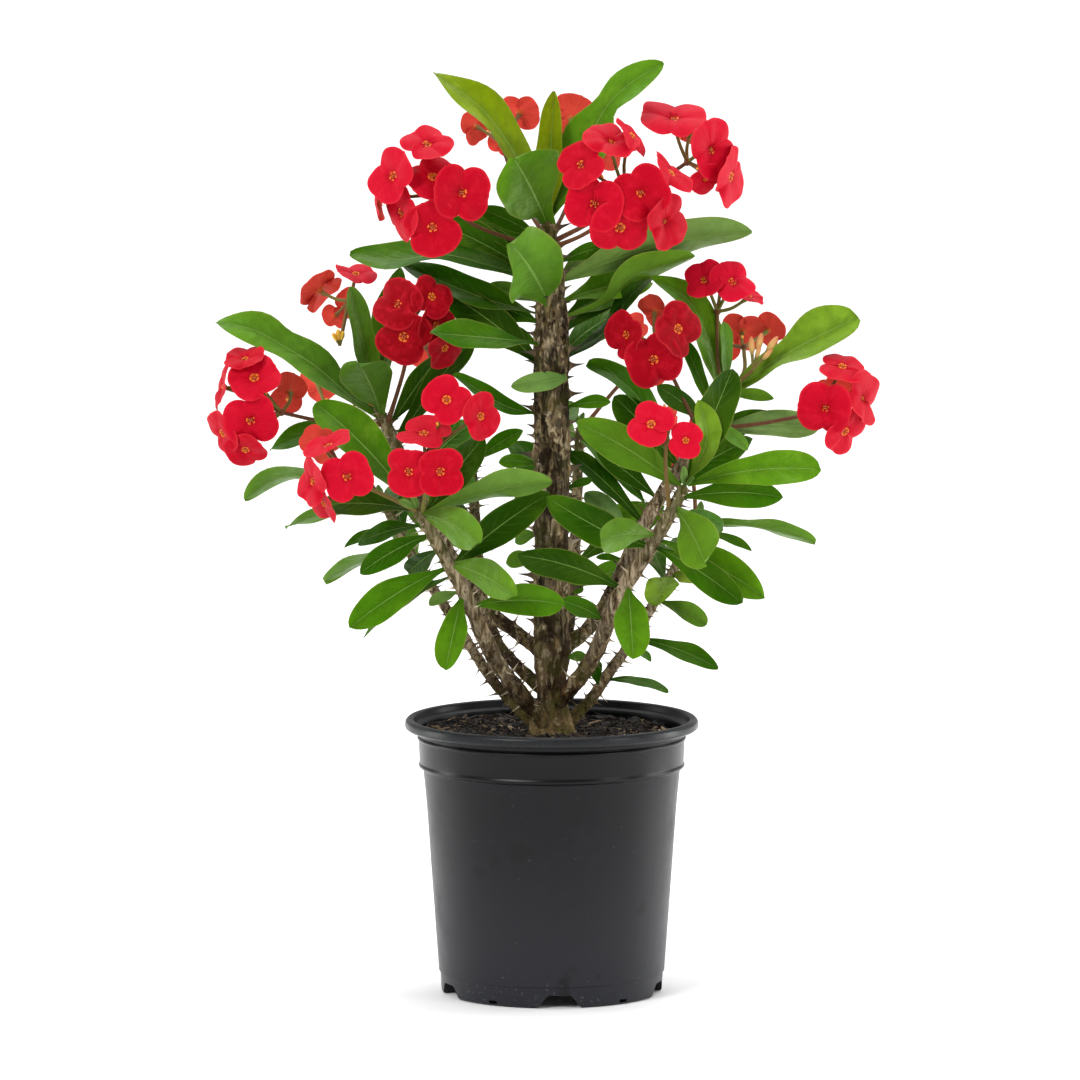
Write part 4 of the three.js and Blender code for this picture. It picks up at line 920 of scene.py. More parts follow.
def pot_material(name, gloss):
    """Black polypropylene: satin, with faint moulding ripples, scuffs, stains, dust towards the foot, a paler
    bluish lower body that is partly dust and partly painted sheen, and a painted highlight on the lip.
    """
    m = Nodes(name)
    place = m.place()
    ripple = m.noise(m.place((1, 1, 0.12)), 60, 3)
    grain = m.noise(place, 900, 4, 0.65)
    dust = m.noise(place, 34, 6, 0.7)
    crumbs = m.noise(place, 520, 2)
    m.colour = m.mix(m.step(dust, 0.5, 0.8, 0, 0.6), (0.002, 0.0021, 0.0034), (0.01, 0.0104, 0.015))
    # paler and bluer below 120 mm: partly dust, partly painted sheen
    m.over(m.at_height(0, 120, 1, 0) * 0.8, (0.017, 0.0175, 0.0225))
    m.over(m.step(m.noise(place, 42, 3), 0.6, 0.7, 0, 0.7), (0.002, 0.002, 0.0024))
    scuffs = m.step(m.noise(m.place((1, 1, 6)), 42, 6, 0.75, 1.2), 0.64, 0.76, 0, 0.35)
    m.over(scuffs, (0.075, 0.074, 0.075))
    m.over(m.step(crumbs, 0.75, 0.8, 0, 0.35), (0.22, 0.21, 0.2))
    m.over(m.at_height(8, 20, 1, 0) * m.step(crumbs, 0.62, 0.74, 0, 0.25), (0.24, 0.23, 0.22))
    band = m.at_height(BAND_FOOT, BAND_FOOT + 1.5)
    m.over(band * 0.85, (0.001, 0.001, 0.0012))
    # painted highlight: a lighter grey on the lip, mottled by the grain
    m.over(m.at_height(LIP_FOOT, LIP_FOOT + 0.8) * m.step(grain, 0.3, 0.7, 0.35, 0.9), (0.017, 0.018, 0.02))
    rough = m.step(dust, 0.4, 0.8, 0.34, 0.48) + scuffs * 0.35 - band * 0.05
    return m.done(ripple * 0.8 + grain * 0.25, 0.12, 0.0012, Roughness=rough, Specular_IOR_Level=gloss)


def soil_material():
    """Dark damp bark mix."""
    m = Nodes("soil_ground")
    place = m.place()
    crumb = m.noise(place, 320, 6, 0.7)
    m.colour = m.ramp(
        crumb, (0.32, 0.006, 0.004, 0.003), (0.5, 0.028, 0.017, 0.01), (0.7, 0.085, 0.052, 0.03),
    )
    return m.done(crumb + m.cells(place, 210), 1, 0.003, Roughness=0.95)


def chip_material():
    """Bark chips, from near black to tan by tone, with grain along the chip."""
    m = Nodes("bark_chip")
    tone, _, _ = m.tint()
    grain = m.noise(m.place((1, 1, 2.5)), 380, 5, 0.7)
    m.colour = m.ramp(
        tone, (0, 0.005, 0.003, 0.002), (0.5, 0.026, 0.014, 0.007), (0.8, 0.19, 0.115, 0.06),
        (1, 0.75, 0.55, 0.34),
    )
    m.over(m.step(grain, 0.4, 0.7, 0.55, 0), (0.01, 0.006, 0.004))
    return m.done(grain, 0.8, 0.0012, Roughness=0.9)


def floor_material():
    m = Nodes("studio_floor")
    m.colour = m.mix(m.noise(m.place(), 3, 2), (0.9, 0.9, 0.9), (0.92, 0.92, 0.92))
    return m.done(Roughness=0.9)


LEAF_BLADE = leaf_material()
BARK = bark_material()
THORN_HORN = thorn_material()
STALK = stalk_material()
BRACT = bract_material()
CUP = cup_material()
POT_PLASTIC = pot_material("pot_plastic", 0.23)
# a shaded copy with less reflection, as painted shade on the inner wall
POT_SHADED = pot_material("pot_inner_wall", 0.07)
SOIL_GROUND = soil_material()
CHIP = chip_material()


# ---- pot ----
def filleted(corners):
    """The outline of [r, z, fillet] corners with each corner rounded."""
    out = []
    for i, (r, z, fillet) in enumerate(corners):
        here = np.array([r, z], float)
        before = np.array(corners[i - 1][:2], float) - here
        after = np.array(corners[(i + 1) % len(corners)][:2], float) - here
        reach = min(fillet, 0.45 * np.linalg.norm(before), 0.45 * np.linalg.norm(after))
        if reach < 0.05:
            out.append(here)
        else:
            out.extend(bend(here + unit(before) * reach, here, here + unit(after) * reach, 5))
    return np.array(out)


def lathe(outline, sides):
    """A closed ring of the outline turned about the pot's axis."""
    angle = np.linspace(0, 2 * math.pi, sides, endpoint=False)
    r, z = outline.T
    rows = len(outline)
    across = [np.outer(np.cos(angle), r), np.outer(np.sin(angle), r)]
    points = np.stack([*across, np.tile(z, (sides, 1))], axis=-1)
    faces = []
    for i in range(sides):
        here, there = i * rows, (i + 1) % sides * rows
        for k in range(rows):
            j = (k + 1) % rows
            faces.append((here + k, there + k, there + j, here + j))
    return points.reshape(-1, 3), faces


def on_wall(outline, r, degrees):
    """An outline of (across, height) at radius r, at a bearing from -Y to +X."""
    out = bearing_out(math.radians(degrees))
    across = np.array([-out[1], out[0], 0])
    return [out * r + across * u + np.array([0, 0, z]) for u, z in outline]


def notch_outline():
    """A gap in the foot ring: wide at the floor, its sides bending out and in again to a flat top."""
    low = NOTCH["bottom"] / 2 + 1
    high = NOTCH["top"] / 2 - 1.5
    right = [(low, -1.0)]
    for t in np.linspace(0, 1, 10):
        right.append((lerp(low, high, t), NOTCH["height"] * (3 * t ** 2 - 2 * t ** 3)))
    return right + [(-u, z) for u, z in reversed(right)]


def pot_cutters():
    """Each notch, slot and drain hole as the two outlines, one behind the other, of what is cut away."""
    notch = notch_outline()
    half = SLOT["width"] / 2
    slot = [(half * a, SLOT["z"] + SLOT["height"] / 2 * b) for a, b in ((1, -1), (1, 1), (-1, 1), (-1, -1))]
    spacing = 360 / NOTCH["count"]
    for k in range(NOTCH["count"]):
        at = NOTCH["first"] + k * spacing
        for outline, cut, degrees in ((notch, NOTCH["cut"], at), (slot, SLOT["cut"], at + spacing / 2)):
            yield [point for r in cut for point in on_wall(outline, r, degrees)]
        x, y, _ = bearing_out(math.radians(at)) * DRAIN["ring"]
        yield [(x + u, y + v, z) for z in DRAIN["cut"] for u, v in circle(DRAIN["r"], DRAIN["sides"])]


def pot_piece():
    points, faces = lathe(filleted(POT_OUTSIDE + POT_INSIDE), POT_SIDES)
    pot = link("pot_shell", new_mesh("pot_shell", packed(points), faces))
    cutters = []
    for points in pot_cutters():
        faces = tube_faces(2, len(points) // 2)
        cutters.append(link("cutter", new_mesh("cutter", packed(points), faces)))
        modifier = pot.modifiers.new("cut", "BOOLEAN")
        modifier.operation = "DIFFERENCE"
        modifier.solver = "EXACT"
        modifier.object = cutters[-1]
    bpy.context.view_layer.update()
    mesh = bpy.data.meshes.new_from_object(pot.evaluated_get(bpy.context.evaluated_depsgraph_get()))
    pot.modifiers.clear()
    pot.data = mesh
    for cutter in cutters:
        bpy.data.objects.remove(cutter)
    mesh.materials.clear()
    mesh.materials.append(POT_PLASTIC)
    mesh.materials.append(POT_SHADED)
    # inward-facing faces take the shaded copy, as painted shade inside the pot
    for face in mesh.polygons:
        out = face.center - Vector(AXIS)
        face.material_index = int(face.normal.x * out.x + face.normal.y * out.y < 0)
    smooth(mesh, POT_CREASE)
    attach(pot, "root")
    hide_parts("pot")


# ---- soil ----
def soil_height(x, y):
    bumps = noise.fractal(Vector((x * 0.055, y * 0.055, 3.1)), 0.9, 2.1, 4)
    mound = 1.2 * math.exp(-((x / 20) ** 2 + (y / 20) ** 2))
    heap = (math.hypot(x, y) / SOIL_R) ** 4 * (1.6 - 1.2 * x / SOIL_R)
    return SOIL_TOP + 1.8 * bumps + mound + heap


def soil_pieces():
    sides = SOIL_SIDES
    points = []
    for i in range(SOIL_RINGS + 1):
        for x, y in circle(SOIL_R * i / SOIL_RINGS, sides):
            points.append((x, y, min(soil_height(x, y), SOIL_TOP + 4)))
    for r, z in ROOT_BALL:
        points += [(x, y, z) for x, y in circle(r, sides)]
    # the rings run outwards and then down, so their faces are turned round, and the first ring is one point
    faces = [face[::-1] for face in tube_faces(len(points) // sides, sides) if min(face) >= sides]
    faces += [(0, sides + k, sides + (k + 1) % sides) for k in range(sides)]
    ground = Builder()
    ground.add(points, faces, (0.5, 0.5), 0.5)
    ground.piece("soil_ground", [SOIL_GROUND], "bark_soil", "soil")

    draw = np.random.default_rng(7).random
    chips = Builder()
    for _ in range(CHIPS):
        r = (SOIL_R - 2) * math.sqrt(draw())
        turn = draw() * 2 * math.pi
        x, y = r * math.cos(turn), r * math.sin(turn)
        if r < CHIPS_CLEAR:
            continue
        length = 0.6 + 3.6 * draw() ** 3
        if draw() < 0.25:
            size = (length * 2.0, length * 0.2, 0.3 + 0.6 * draw())
        else:
            size = (length, length * (0.35 + 0.4 * draw()), 0.3 + 0.6 * draw())
        heading = draw() * 2 * math.pi
        lean = 0.9 * (draw() - 0.5)
        a = unit(np.array([math.cos(heading), math.sin(heading), lean]))
        c = unit(np.array([lean * draw(), lean * (draw() - 0.5), 1.0]) - a * lean)
        centre = np.array([x, y, soil_height(x, y) + 0.35 * size[2] + 0.3 * abs(lean) * size[0]])
        add_chip(chips, centre, size, np.array([a, np.cross(c, a), c]), draw)
    chips.piece("soil_chips", [CHIP], "bark_soil", "soil")


def add_chip(chips, centre, size, axes, draw):
    """An angular flake of bark."""
    corners = 6
    points = []
    for level in (-1, 1):
        for u, v in circle(1, corners):
            reach = 0.72 + 0.5 * draw()
            w = level * 0.8 + 0.35 * (draw() - 0.5)
            points.append(centre + (np.array([u * reach, v * reach, w]) * size) @ axes)
    chips.add(points, tube_faces(2, corners), (0.5, 0.5), (draw() ** 3.2, draw(), 1))


# ---- stems ----
def bark_relief(ring, radii):
    """Wavy ridges, knobs and fissures of the bark, as a height along the surface's normal."""
    out = np.zeros(ring.shape[:2])
    for at in np.ndindex(out.shape):
        x, y, z = ring[at]
        lumps = noise.fractal(Vector((x * 0.15, y * 0.15, z * 0.08)), 0.8, 2.0, 3)
        ridges = noise.noise(Vector((x * 0.36 + 3, y * 0.36, z * 0.11)))
        cracks = noise.noise(Vector((x * 0.8, y * 0.8, z * 0.3)))
        out[at] = 0.55 * lumps + 0.8 * ridges - 0.45 * abs(cracks)
    return out * np.minimum(1.3, radii / 6.0)


def add_stem(builder, stem, sides, thorns, pale, collar=0.0, young=0.0):
    """A bark-covered stem with a mound under each thorn; collar widens it where it leaves the trunk, pale
    lightens its upper bark and young greens its far end. Its tint is (young, mound, pale)."""
    points, radii = stem_axis(stem, STEM_STEP)
    if collar == 0:
        radii = radii * (1 + ROOT_FLARE * np.exp(-(((points[:, 2] - SOIL_TOP) / FLARE_REACH) ** 2)))
    walked = walk(points)
    from_tip = walked[-1] - walked
    radii = radii * (1 + collar * np.exp(-np.maximum(0, walked - FLARE_REACH) / FLARE_REACH))
    radii = radii * np.minimum(1, np.sqrt(np.maximum(from_tip, 0) / 2.2 + 0.08))
    roots = np.array([thorn["root"] for thorn in thorns])
    reach = np.array([1.25 * thorn["base"] for thorn in thorns])
    tint = np.zeros((len(points), sides, 3))
    tint[..., 0] = young * np.clip(1 - from_tip / YOUNG_OVER, 0, 1)[:, None]
    tint[..., 2] = pale * np.clip((walked - PALE_FROM) / PALE_OVER, 0.05, 1)[:, None]

    def relief(ring, ring_radii):
        apart = np.linalg.norm(ring[:, :, None] - roots, axis=-1)
        tint[..., 1] = np.exp(-((apart / reach) ** 2)).max(axis=-1)
        return bark_relief(ring, ring_radii) + 0.4 * reach.mean() * tint[..., 1]

    builder.tube(points, radii, sides, 0, (0, 0, 0), relief)
    builder.tints[-1] = tint.reshape(-1, 3)


def add_thorn(builder, root, way, along, length, base, bleach):
    """A thorn with a broad foot that runs along the stem and a fine point."""
    side = unit(np.cross(along, way))
    lift = unit(np.cross(way, side))
    points = []
    uvs = []
    for share, size in THORN_STEPS:
        centre = root + way * length * share + lift * length * 0.06 * share ** 2
        stretch = 1.0 + 1.2 * max(0, 0.3 - share)
        for k, (u, v) in enumerate(circle(base * size, THORN_SIDES)):
            points.append(centre + side * 0.62 * u + lift * stretch * v)
            uvs.append((k / THORN_SIDES, max(0.0, share)))
    builder.add(points, tube_faces(len(THORN_STEPS), THORN_SIDES), uvs, bleach, 1)


def thorns_of(stem, rule, seed, bare):
    """Thorns a golden angle apart round a stem, closer towards its end, except where bare(point) holds."""
    draw = np.random.default_rng(seed).random
    points, radii = stem_axis(stem, 0.5)
    along = unit(np.gradient(points, axis=0))
    walked = walk(points)
    marks = [rule["spacing"] / 2]
    while marks[-1] < walked[-1] - rule["tip"]:
        marks.append(marks[-1] + rule["spacing"] * (0.55 if walked[-1] - marks[-1] < rule["crowd"] else 1))
    thorns = []
    for k, mark in enumerate(marks[:-1]):
        i = min(int(np.searchsorted(walked, mark)), len(points) - 1)
        at = points[i]
        size = 0.6 + 0.7 * draw()
        turn = k * GOLDEN + 0.5 * draw()
        rise = 0.1 + 0.35 * (draw() - 0.4)
        bleach = 1.0 if draw() < rule["bleached"] else 0.15 * draw()
        if at[2] < SOIL_TOP + rule["bare"] or bare(at):
            continue
        reach = bearing_out(turn)
        out = unit(reach - along[i] * reach.dot(along[i]))
        thorns.append({
            "root": at + out * (radii[i] - 0.1), "way": unit(out + np.array([0, 0, rise])), "along": along[i],
            "length": rule["length"] * size, "base": rule["base"] * (0.5 + 0.5 * size), "bleach": bleach,
        })
    return thorns


# ---- leaves ----
def leaf_outline(s, widest, point):
    """Half the width of a leaf at s along its rib, as a share of its widest half; point is 0 for a round end
    and 1 for a pointed one."""
    root = 0.13 + 0.87 * np.sin(np.pi / 2 * np.clip(s / widest, 0, 1)) ** 1.7
    past = np.clip((s - widest) / (1 - widest), 0, 1)
    end = np.maximum(0, 1 - past ** lerp(2.3, 1.7, point)) ** lerp(0.5, 0.85, point)
    return np.where(s < widest, root, end)


def add_leaf(builder, rib, width, side, sway, tone, draw, widest=0.6, point=0.4, waist=0.6, pinch=0.0):
    """A leaf along the curve rib: folded along it, waved at its edges, with a keel and a small point. s runs
    from its root to its tip and t from edge to edge."""
    s = 1 - (1 - np.linspace(0, 1, LEAF["rows"])) ** 1.25
    middle = spread(rib, s)
    length = walk(rib)[-1]
    along = unit(np.gradient(middle, s, axis=0))
    true_width = max(width, LEAF["slim"] * length)
    # the blade is turned about its rib, a pale one to the sky and a dark one away from it
    spare = LEAF["turn"] * (tone - 0.45) + 0.2 * (draw() - 0.5)
    roll = math.acos(min(1, width / true_width))
    if roll < 0.3:
        roll = spare
        true_width /= math.cos(spare)
    viewer = np.array([0, -0.993, 0.12])
    facing = unit(viewer - along * (along @ viewer)[:, None])
    skyward = np.cross(along, facing)
    skyward = skyward * np.where(skyward[:, 2] < 0, -1, 1)[:, None]
    s = s[:, None]
    twist = roll + 0.25 * (draw() - 0.5) * s
    normal = facing * side * np.cos(twist) + skyward * np.sin(twist)
    across = unit(np.cross(normal, along))
    t = np.linspace(-1, 1, LEAF["columns"] + 1)
    t = np.sign(t) * np.abs(t) ** 0.9
    edge = np.abs(t)
    half = true_width / 2 * leaf_outline(s, widest, point) * (1 - pinch * np.exp(-((s - waist) / 0.1) ** 2))
    half[-1] = 0.02 * true_width
    out = half * t * (1 + 0.04 * np.sin(9 * s + sway) * np.sign(t))
    wave = np.sin(7 * s + sway) * np.sign(t) + 0.5 * np.sin(15 * s + 2.1 * sway + np.sign(t))
    wave = wave * true_width * LEAF["wave"] * edge ** 2 * min(1, length / 60)
    fold = half * (LEAF["fold"] + 0.16 * (draw() - 0.5)) * edge ** 1.2
    lift = fold + wave - 0.03 * length * draw() * s ** 4
    sheet = middle[:, None] + across[:, None] * out[..., None] + normal[:, None] * lift[..., None]
    thick = LEAF["thick"] / 2 * (0.25 + 0.75 * (1 - edge ** 2)) * (1 - 0.7 * s)
    thick = thick + 0.25 * np.exp(-((t / 0.12) ** 2)) * (1 - s)
    uv = np.stack(np.broadcast_arrays((t + 1) / 2, s), axis=-1)
    builder.shell(sheet, normal[:, None], thick, uv, tone, draw(), pointed=True)


def leaf_rib(root, between, tip):
    if between:
        return smooth_curve([root, *between, tip], 16)
    middle = (root + tip) / 2
    middle[2] += 0.1 * math.hypot(tip[0] - root[0], tip[1] - root[1])
    return bend(root, middle, tip, 40)


def leaf_from_entry(builder, stem, entry, tone, draw, form):
    x, h, tip_x, tip_h, tip_depth, width, side, *between = entry
    reading, r = nearest_on_stem(stem, x, h)
    axis = seen(*reading)
    stops = [*between, [tip_x, tip_h]]
    walked = walk(np.array([reading[:2], *[stop[:2] for stop in stops]]))
    points = []
    for (u, v, *depth), w in zip(stops, walked[1:]):
        points.append(seen(u, v, depth[0] if depth else lerp(reading[2], tip_depth, w / walked[-1])))
    root = axis + unit(points[0] - axis) * (r - LEAF_SINK)
    add_leaf(builder, leaf_rib(root, points[:-1], points[-1]), width, side, x + h, tone, draw, *form)


def far_leaves(builder, stem, count, low, high, shortest, bearing, draw):
    """Leaves on the side of a stem that looks away from the viewer, a golden angle apart."""
    for k in range(count):
        reading, r = stem_at_height(stem, lerp(low, high, (k + 0.5) / count))
        axis = seen(*reading)
        swing = math.fmod(k * FAR_TURN + bearing + 360, 2 * FAR_SPREAD) - FAR_SPREAD
        angle = math.radians(bearing + swing)
        length = shortest * (1.15 + 0.25 * math.sin(2.1 * k + bearing))
        rise = 0.34 + 0.22 * math.sin(1.7 * k + bearing)
        way = unit(np.array([math.sin(angle), math.cos(angle), rise]))
        rib = leaf_rib(axis + way * (r - LEAF_SINK), [], axis + way * (r + length))
        tone = 0.3 + 0.4 * draw()
        add_leaf(builder, rib, 0.3 * length, 1, k + bearing, tone, draw)


def leaves_of(name, stem):
    """All leaves of a stem as one piece's mesh."""
    entries = LEAVES.get(name, [])
    draw = np.random.default_rng(len(name) * 31 + len(entries)).random
    builder = Builder()
    for k, entry in enumerate(entries + SMALL_LEAVES.get(name, [])):
        tone = TONES.get(name, {}).get(k)
        if tone is None:
            tone = PALE if entry[6] < 0 else BRIGHT if entry[5] >= 19 else PLAIN
            tone += 0.16 * (draw() - 0.5)
        form = FORMS.get(name, {}).get(k, (0.55 + 0.12 * draw(), 0.7 * draw()))
        leaf_from_entry(builder, stem, entry, tone, draw, form)
    for far, *rule in FAR_LEAVES:
        if far == name:
            far_leaves(builder, stem, *rule, draw)
    if name != "trunk":
        tip = seen(*stem[0][-1])
        tuft(builder, tip, unit(tip - seen(*stem[0][-2])), draw)
    return builder


def tuft(builder, tip, way, draw):
    """The small unopened leaves at a stem's tip."""
    side = unit(np.cross(way, [0.3, 1.0, 0.1]))
    other = np.cross(way, side)
    root = tip - way * 1.5
    for k in range(4):
        turn = k * GOLDEN
        lean = 0.35 + 0.12 * k
        out = unit(way + lean * (side * math.cos(turn) + other * math.sin(turn)))
        length = 7 + 2.2 * k
        add_leaf(builder, leaf_rib(root, [], root + out * length), 0.32 * length, 1, k, 0.85, draw)


# ---- flowers ----
def look(turned, up):
    e = math.radians(up)
    return bearing_out(math.radians(turned)) * math.cos(e) + np.array([0, 0, math.sin(e)])


def bract_reach(angle, dip):
    """How far a bract's edge is from the flower's middle, as a share of half the flower: two shoulders with a
    dip between them that ends in a small point, and a waist where the two bracts meet."""
    end = 1 - dip * np.exp(-((angle / 0.34) ** 2)) + 0.03 * np.exp(-((angle / 0.05) ** 2))
    return end * (1 - 0.52 * np.clip((np.abs(angle) - 0.85) / 1.05, 0, 1) ** 1.6)


def add_bract(builder, centre, axes, half, hand, shape, tone, chance):
    """One broad bract: a funnel round the cup, a fold along its middle and a waved edge. shape holds what
    both bracts of a flower share; hand is 1 for the one that laps over and -1 for the one below."""
    lower = int(hand < 0)
    phase = shape["phase"]
    angle = np.linspace(-BRACT_HALF, BRACT_HALF, 33)[None, :]
    s = np.linspace(0.1, 1.0, 11)[:, None]
    reach = s * half * bract_reach(angle, shape["dip"][lower])
    skew = shape["skew"] * hand * s ** 2
    u = hand * reach * np.cos(angle + skew)
    v = reach * np.sin(angle + skew)
    turn = np.arctan2(v, u)
    w = shape["rise"] * (1 - np.exp(-s / 0.28)) - shape["droop"] * s ** 2
    w = w - shape["sides"] * (s * np.sin(angle)) ** 2
    w = w + shape["tilt"][lower] * s * np.maximum(0, np.cos(angle))
    w = w + shape["frill"] * s ** 3 * (np.sin(4 * turn + phase) + 0.5 * np.sin(9 * turn - phase))
    w = w - 0.075 * s * (1.25 - s) * np.exp(-((angle / 0.13) ** 2))
    w = w + 0.03 * s * np.cos(5.2 * angle + phase)
    w = half * (w + 0.035 * hand * np.clip(np.abs(angle) - 0.9, 0, 1) * s)
    sheet = centre + np.stack([u, v, w], axis=-1) @ axes
    uv = np.stack(np.broadcast_arrays(angle / (2 * BRACT_HALF) + 0.5, s), axis=-1)
    thick = np.broadcast_to(0.2 - 0.12 * s, u.shape)
    builder.shell(sheet, axes[2], thick, uv, tone, chance)


def add_cup(builder, centre, axes, half):
    """The cyathium: a short red cup with five glands round a dark middle and a few anthers."""
    facing = axes[2]
    size = half * 0.14
    points = [centre + facing * z for z in (-0.8, 0.6, 1.3)]
    builder.tube(points, [0.9, size * 1.1, size * 1.35], 14, 1, 0.42)
    builder.blob(centre + facing * 1.3, (size * 0.6, size * 0.6, 0.6), axes, 1, 0.12, 5)
    for k in range(5):
        turn = 2 * math.pi * (k + 0.25) / 5
        out = axes[0] * math.cos(turn) + axes[1] * math.sin(turn)
        gland = (out, np.cross(facing, out), facing)
        at = centre + out * size * 1.02 + facing * 1.5
        builder.blob(at, (size * 0.3, size * 0.64, 0.5), gland, 1, 0.62, 6)
    for k in range(4):
        turn = 2 * math.pi * (k + 0.6) / 4
        out = axes[0] * math.cos(turn) + axes[1] * math.sin(turn)
        at = centre + out * size * 0.34 + facing * 2.0
        builder.blob(at, (0.3, 0.3, 0.6), axes, 1, 0.75, 5, 7)


def add_stalk(builder, curve, radii, sides, kind, green):
    """A stalk whose radii are [share of its length, radius] pairs."""
    radii = np.interp(np.linspace(0, 1, len(curve)), *zip(*radii))
    builder.tube(curve, radii, sides, kind, green)


def add_flower(builder, fork, fork_depth, entry, k, red, draw):
    """A flower and its small stalk from the fork. Returns the stalk's middle."""
    x, h, across, turned, up, *lean = entry
    facing = look(turned, up)
    centre = seen(x, h, fork_depth + FLOWER_STEP * facing[1])
    level = unit(np.cross([0, 0, 1.0], facing))
    tilt = math.radians(lean[0]) if lean else 1.2 * math.sin(2.3 * k + x)
    long = level * math.cos(tilt) + np.cross(facing, level) * math.sin(tilt)
    axes = np.array([long, np.cross(facing, long), facing])
    half = across / 2 * FLOWER_SPREAD
    # the bunch's red, painted darker in shade and brighter in light, with some random spread
    tone = red + 0.3 * (draw() - 0.5)
    shape = {
        "rise": 0.17 + 0.1 * draw(), "droop": 0.04 + 0.12 * draw(),
        "sides": -0.05 + 0.2 * draw(), "tilt": -0.08 + 0.34 * draw(2),
        "dip": 0.03 + 0.12 * draw(2), "frill": 0.025 + 0.025 * draw(),
        "skew": 0.3 * (draw() - 0.5), "phase": 6.28 * draw(),
    }
    for hand in (1, -1):
        add_bract(builder, centre, axes, half, hand, shape, tone, draw())
    add_cup(builder, centre, axes, half)
    under = centre - facing * 0.8
    curve = smooth_curve([fork, lerp(fork, under, 0.55) - facing * 3, under], 10)
    curve = spread(curve, np.linspace(0, 1, 9))
    add_stalk(builder, curve, [(0, 1.1), (0.75, 0.9), (1, 1.5)], 8, 2, 0.45 + 0.5 * draw())
    return curve[4]


def add_bud(builder, at, way, length, tone, closed=0.5):
    """A closed flower bud of two clasped bracts; closed is 1 for a long tan one."""
    side = unit(np.cross(way, [0.2, 0.9, 0.3]))
    slim = 0.24 if closed < 1 else 0.17
    size = (length * slim, length * 0.85 * slim, length * 0.5)
    axes = (side, np.cross(way, side), way)
    builder.blob(at + way * length * 0.5, size, axes, 1, (tone, closed, 1), 9, 12)


def add_buds(builder, root, fork, buds):
    """Buds on stalks of their own from a fork, and the stalk that carries them."""
    split = seen(*fork)
    for x, h, length, tone, closed in buds:
        tip = seen(x, h, fork[2] - 3)
        way = unit(tip - split)
        foot = tip - way * length
        stalk = [split, lerp(split, foot, 0.5), foot + way * 0.5]
        add_stalk(builder, stalk, [(0, 0.9), (0.5, 0.8), (1, 1.0)], 7, 2, 0.8)
        add_bud(builder, foot, way, length, tone, closed)
    start = seen(*root)
    add_stalk(builder, [start, lerp(start, split, 0.5), split], [(0, 1.3), (0.5, 1.1), (1, 1.0)], 8, 2, 0.6)


def bunch_piece(name, bunch):
    _, stalk, flowers = bunch
    draw = np.random.default_rng(ord(name) + 11).random
    builder = Builder()
    fork = seen(*stalk[-1])
    builder.blob(fork, (HUB_R, HUB_R, HUB_R), np.eye(3), 2, 0.4)
    for k, entry in enumerate(flowers):
        middle = add_flower(builder, fork, stalk[-1][2], entry, k, REDS_AS_LIT.get(name, RED_AS_LIT), draw)
        if k % 2 == 0:
            way = unit(look(entry[3], entry[4]) + np.array([0.4 * math.sin(k), 0.2, 0.5]))
            add_bud(builder, middle + way * 0.6, way, 3.6, 0.9)
    if name in BUDS:
        add_buds(builder, **{"root": stalk[-1], **BUDS[name]})
    builder.piece(f"flowers_{name}_bunch", [BRACT, CUP, STALK], "flower", f"flowers_{name}")


def stalks_piece(name, stem, node):
    """The main stalks of the bunches that grow from a stem."""
    builder = Builder()
    for letter, (carrier, stalk, _) in BUNCHES.items():
        if carrier != name:
            continue
        reading, _ = nearest_on_stem(stem, *stalk[0][:2])
        path = [seen(*p) for p in (reading, *stalk[1:])]
        path[-1] = path[-1] + unit(path[-2] - path[-1]) * HUB_R * 0.8
        curve = spread(smooth_curve(path, 16), np.linspace(0, 1, 26))
        add_stalk(builder, curve, [(0, 1.7), (0.3, STALK_R), (1, 1.1)], 10, 0, GREENS.get(letter, GREEN))
    if builder.count:
        builder.piece(f"{name}_stalks", [STALK], "leaf", node)


# ---- plant ----
def bark_piece(name, stem, sides, thorns, nodes, **look_of_bark):
    bark = Builder()
    add_stem(bark, stem, sides, thorns, **look_of_bark)
    for thorn in thorns:
        add_thorn(bark, **thorn)
    bark.piece(name, [BARK, THORN_HORN], "bark", *nodes)


def near_branch_root(at):
    """Whether a place on the trunk is where a branch leaves it."""
    roots = [path[0][1] for name, (path, _) in STEMS.items() if name != "main"]
    return any(h + BRANCH_GAP[0] < at[2] < h + BRANCH_GAP[1] for h in roots)


def near_trunk(at):
    return math.hypot(at[0], at[1]) < TRUNK_CLEAR


def plant_pieces():
    main = STEMS["main"]
    thorns = thorns_of(main, TRUNK_THORNS, 5, near_branch_root)
    bark_piece("trunk_bark", main, TRUNK_SIDES, thorns, ("trunk", "main_shoot"), pale=0.2, young=0.5)
    lower = [part[:TRUNK_TOP + 1] for part in main]
    upper = [part[TRUNK_TOP:] for part in main]
    leaves_of("trunk", lower).piece("trunk_leaves", [LEAF_BLADE], "leaf", "trunk")
    leaves_of("main", upper).piece("main_leaves", [LEAF_BLADE], "leaf", "main_shoot")
    stalks_piece("main", main, "main_shoot")
    for number, (name, stem) in enumerate(STEMS.items()):
        if name == "main":
            continue
        node = f"{name}_branch"
        thorns = thorns_of(stem, BRANCH_THORNS, 20 + number, near_trunk)
        pale = 0.5 if "back" in name else 0.9
        bark_piece(f"{name}_bark", stem, BRANCH_SIDES, thorns, (node,), pale=pale, collar=0.1, young=0.8)
        leaves_of(name, stem).piece(f"{name}_leaves", [LEAF_BLADE], "leaf", node)
        stalks_piece(name, stem, node)
    for name, bunch in BUNCHES.items():
        bunch_piece(name, bunch)


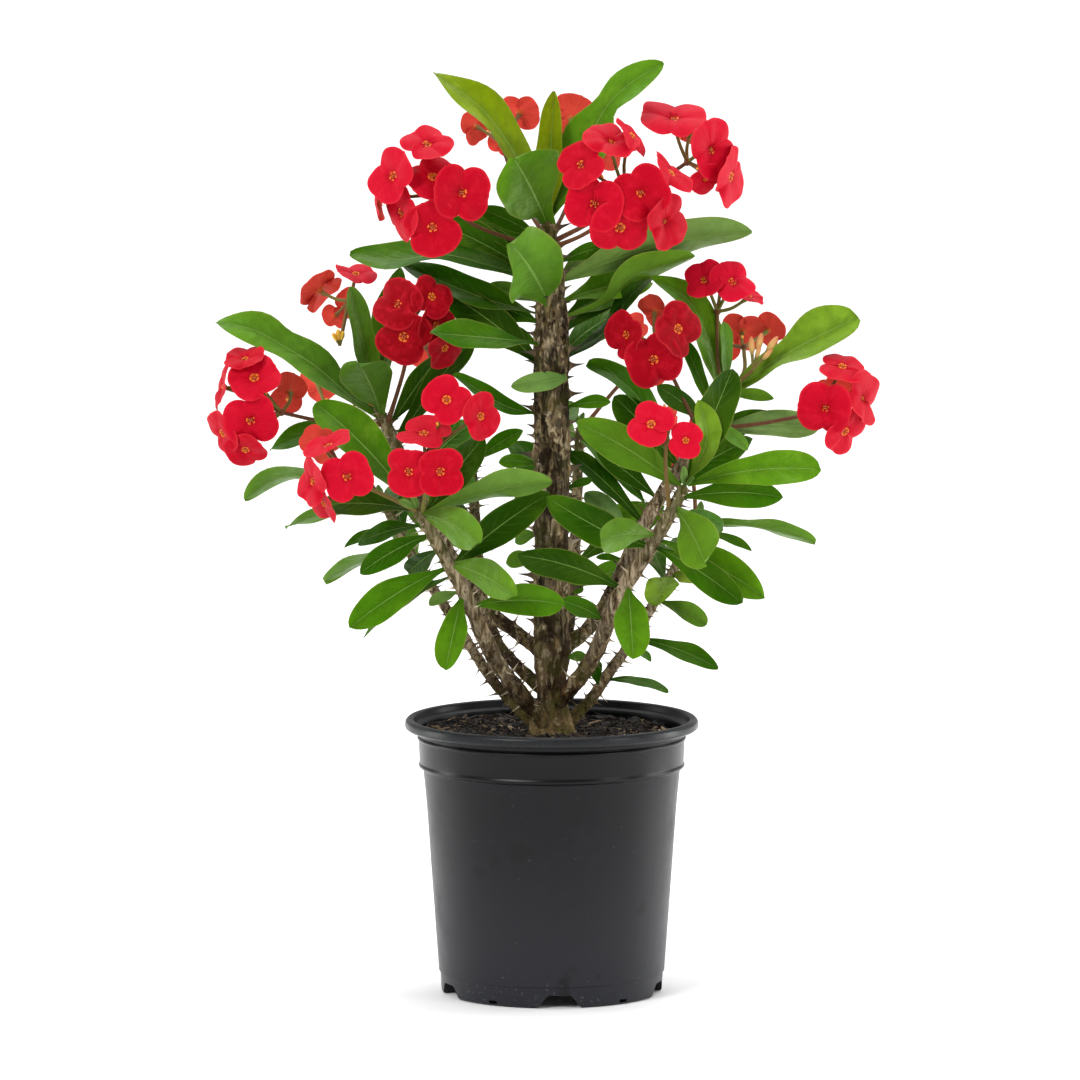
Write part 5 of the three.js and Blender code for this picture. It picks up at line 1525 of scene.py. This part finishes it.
# ---- stage ----
def hang(name, light, place, power):
    """Puts a light up, turned to the plant."""
    light.energy = power
    lamp = link(name, light)
    lamp.location = place
    lamp.rotation_euler = (Vector(PLANT_MIDDLE) - Vector(place)).to_track_quat("-Z", "Y").to_euler()


def distant(name, place, power, spread_degrees):
    light = bpy.data.lights.new(name, "SUN")
    light.angle = math.radians(spread_degrees)
    hang(name, light, place, power)


def softbox(name, place, size, power):
    light = bpy.data.lights.new(name, "AREA")
    light.shape = "RECTANGLE"
    light.size, light.size_y = size
    hang(name, light, place, power)


def stage():
    """A pale floor as wide as any view, two broad distant lamps, softboxes and the camera."""
    corners = [(x * FLOOR_REACH, y * FLOOR_REACH, 0) for x, y in ((-1, -1), (1, -1), (1, 1), (-1, 1))]
    floor = link("studio_floor", new_mesh("studio_floor", corners, [(0, 1, 2, 3)]))
    floor.data.materials.append(floor_material())

    world = bpy.data.worlds.new("studio")
    bpy.context.scene.world = world
    world.use_nodes = True
    background = world.node_tree.nodes["Background"].inputs
    background["Color"].default_value = (1, 1, 1, 1)
    background["Strength"].default_value = WORLD_LIGHT

    distant("key_light", (-1.2, -1.6, 1.7), 1.66, 20)
    distant("top_light", (0.1, 0.3, 2.0), 1.9, 50)
    softbox("fill_light", (1.6, -1.1, 0.8), (0.5, 1.2), 9)
    softbox("right_strip", (1.5, 0.35, 0.35), (0.45, 1.0), 12)
    softbox("left_strip", (-1.5, 0.35, 0.35), (0.45, 1.0), 8)
    softbox("back_light", (0.0, 1.8, 2.4), (3.0, 1.0), 22)

    camera = bpy.data.cameras.new("camera")
    camera.lens = LENS
    camera.sensor_width = SENSOR
    camera.clip_start, camera.clip_end = CLIP
    view = link("camera", camera)
    pitch = math.atan((EYE_HEIGHT - LOOK_AT[1]) / STANDING_EYE)
    view.location = Vector((LOOK_AT[0] * MM + AXIS[0], -STANDING_EYE * MM + AXIS[1], EYE_HEIGHT * MM))
    view.rotation_euler = (math.pi / 2 - pitch, 0, 0)
    bpy.context.scene.camera = view
    bpy.context.scene.view_settings.view_transform = "Standard"


pot_piece()
soil_pieces()
plant_pieces()
stage()

bpy.context.view_layer.update()
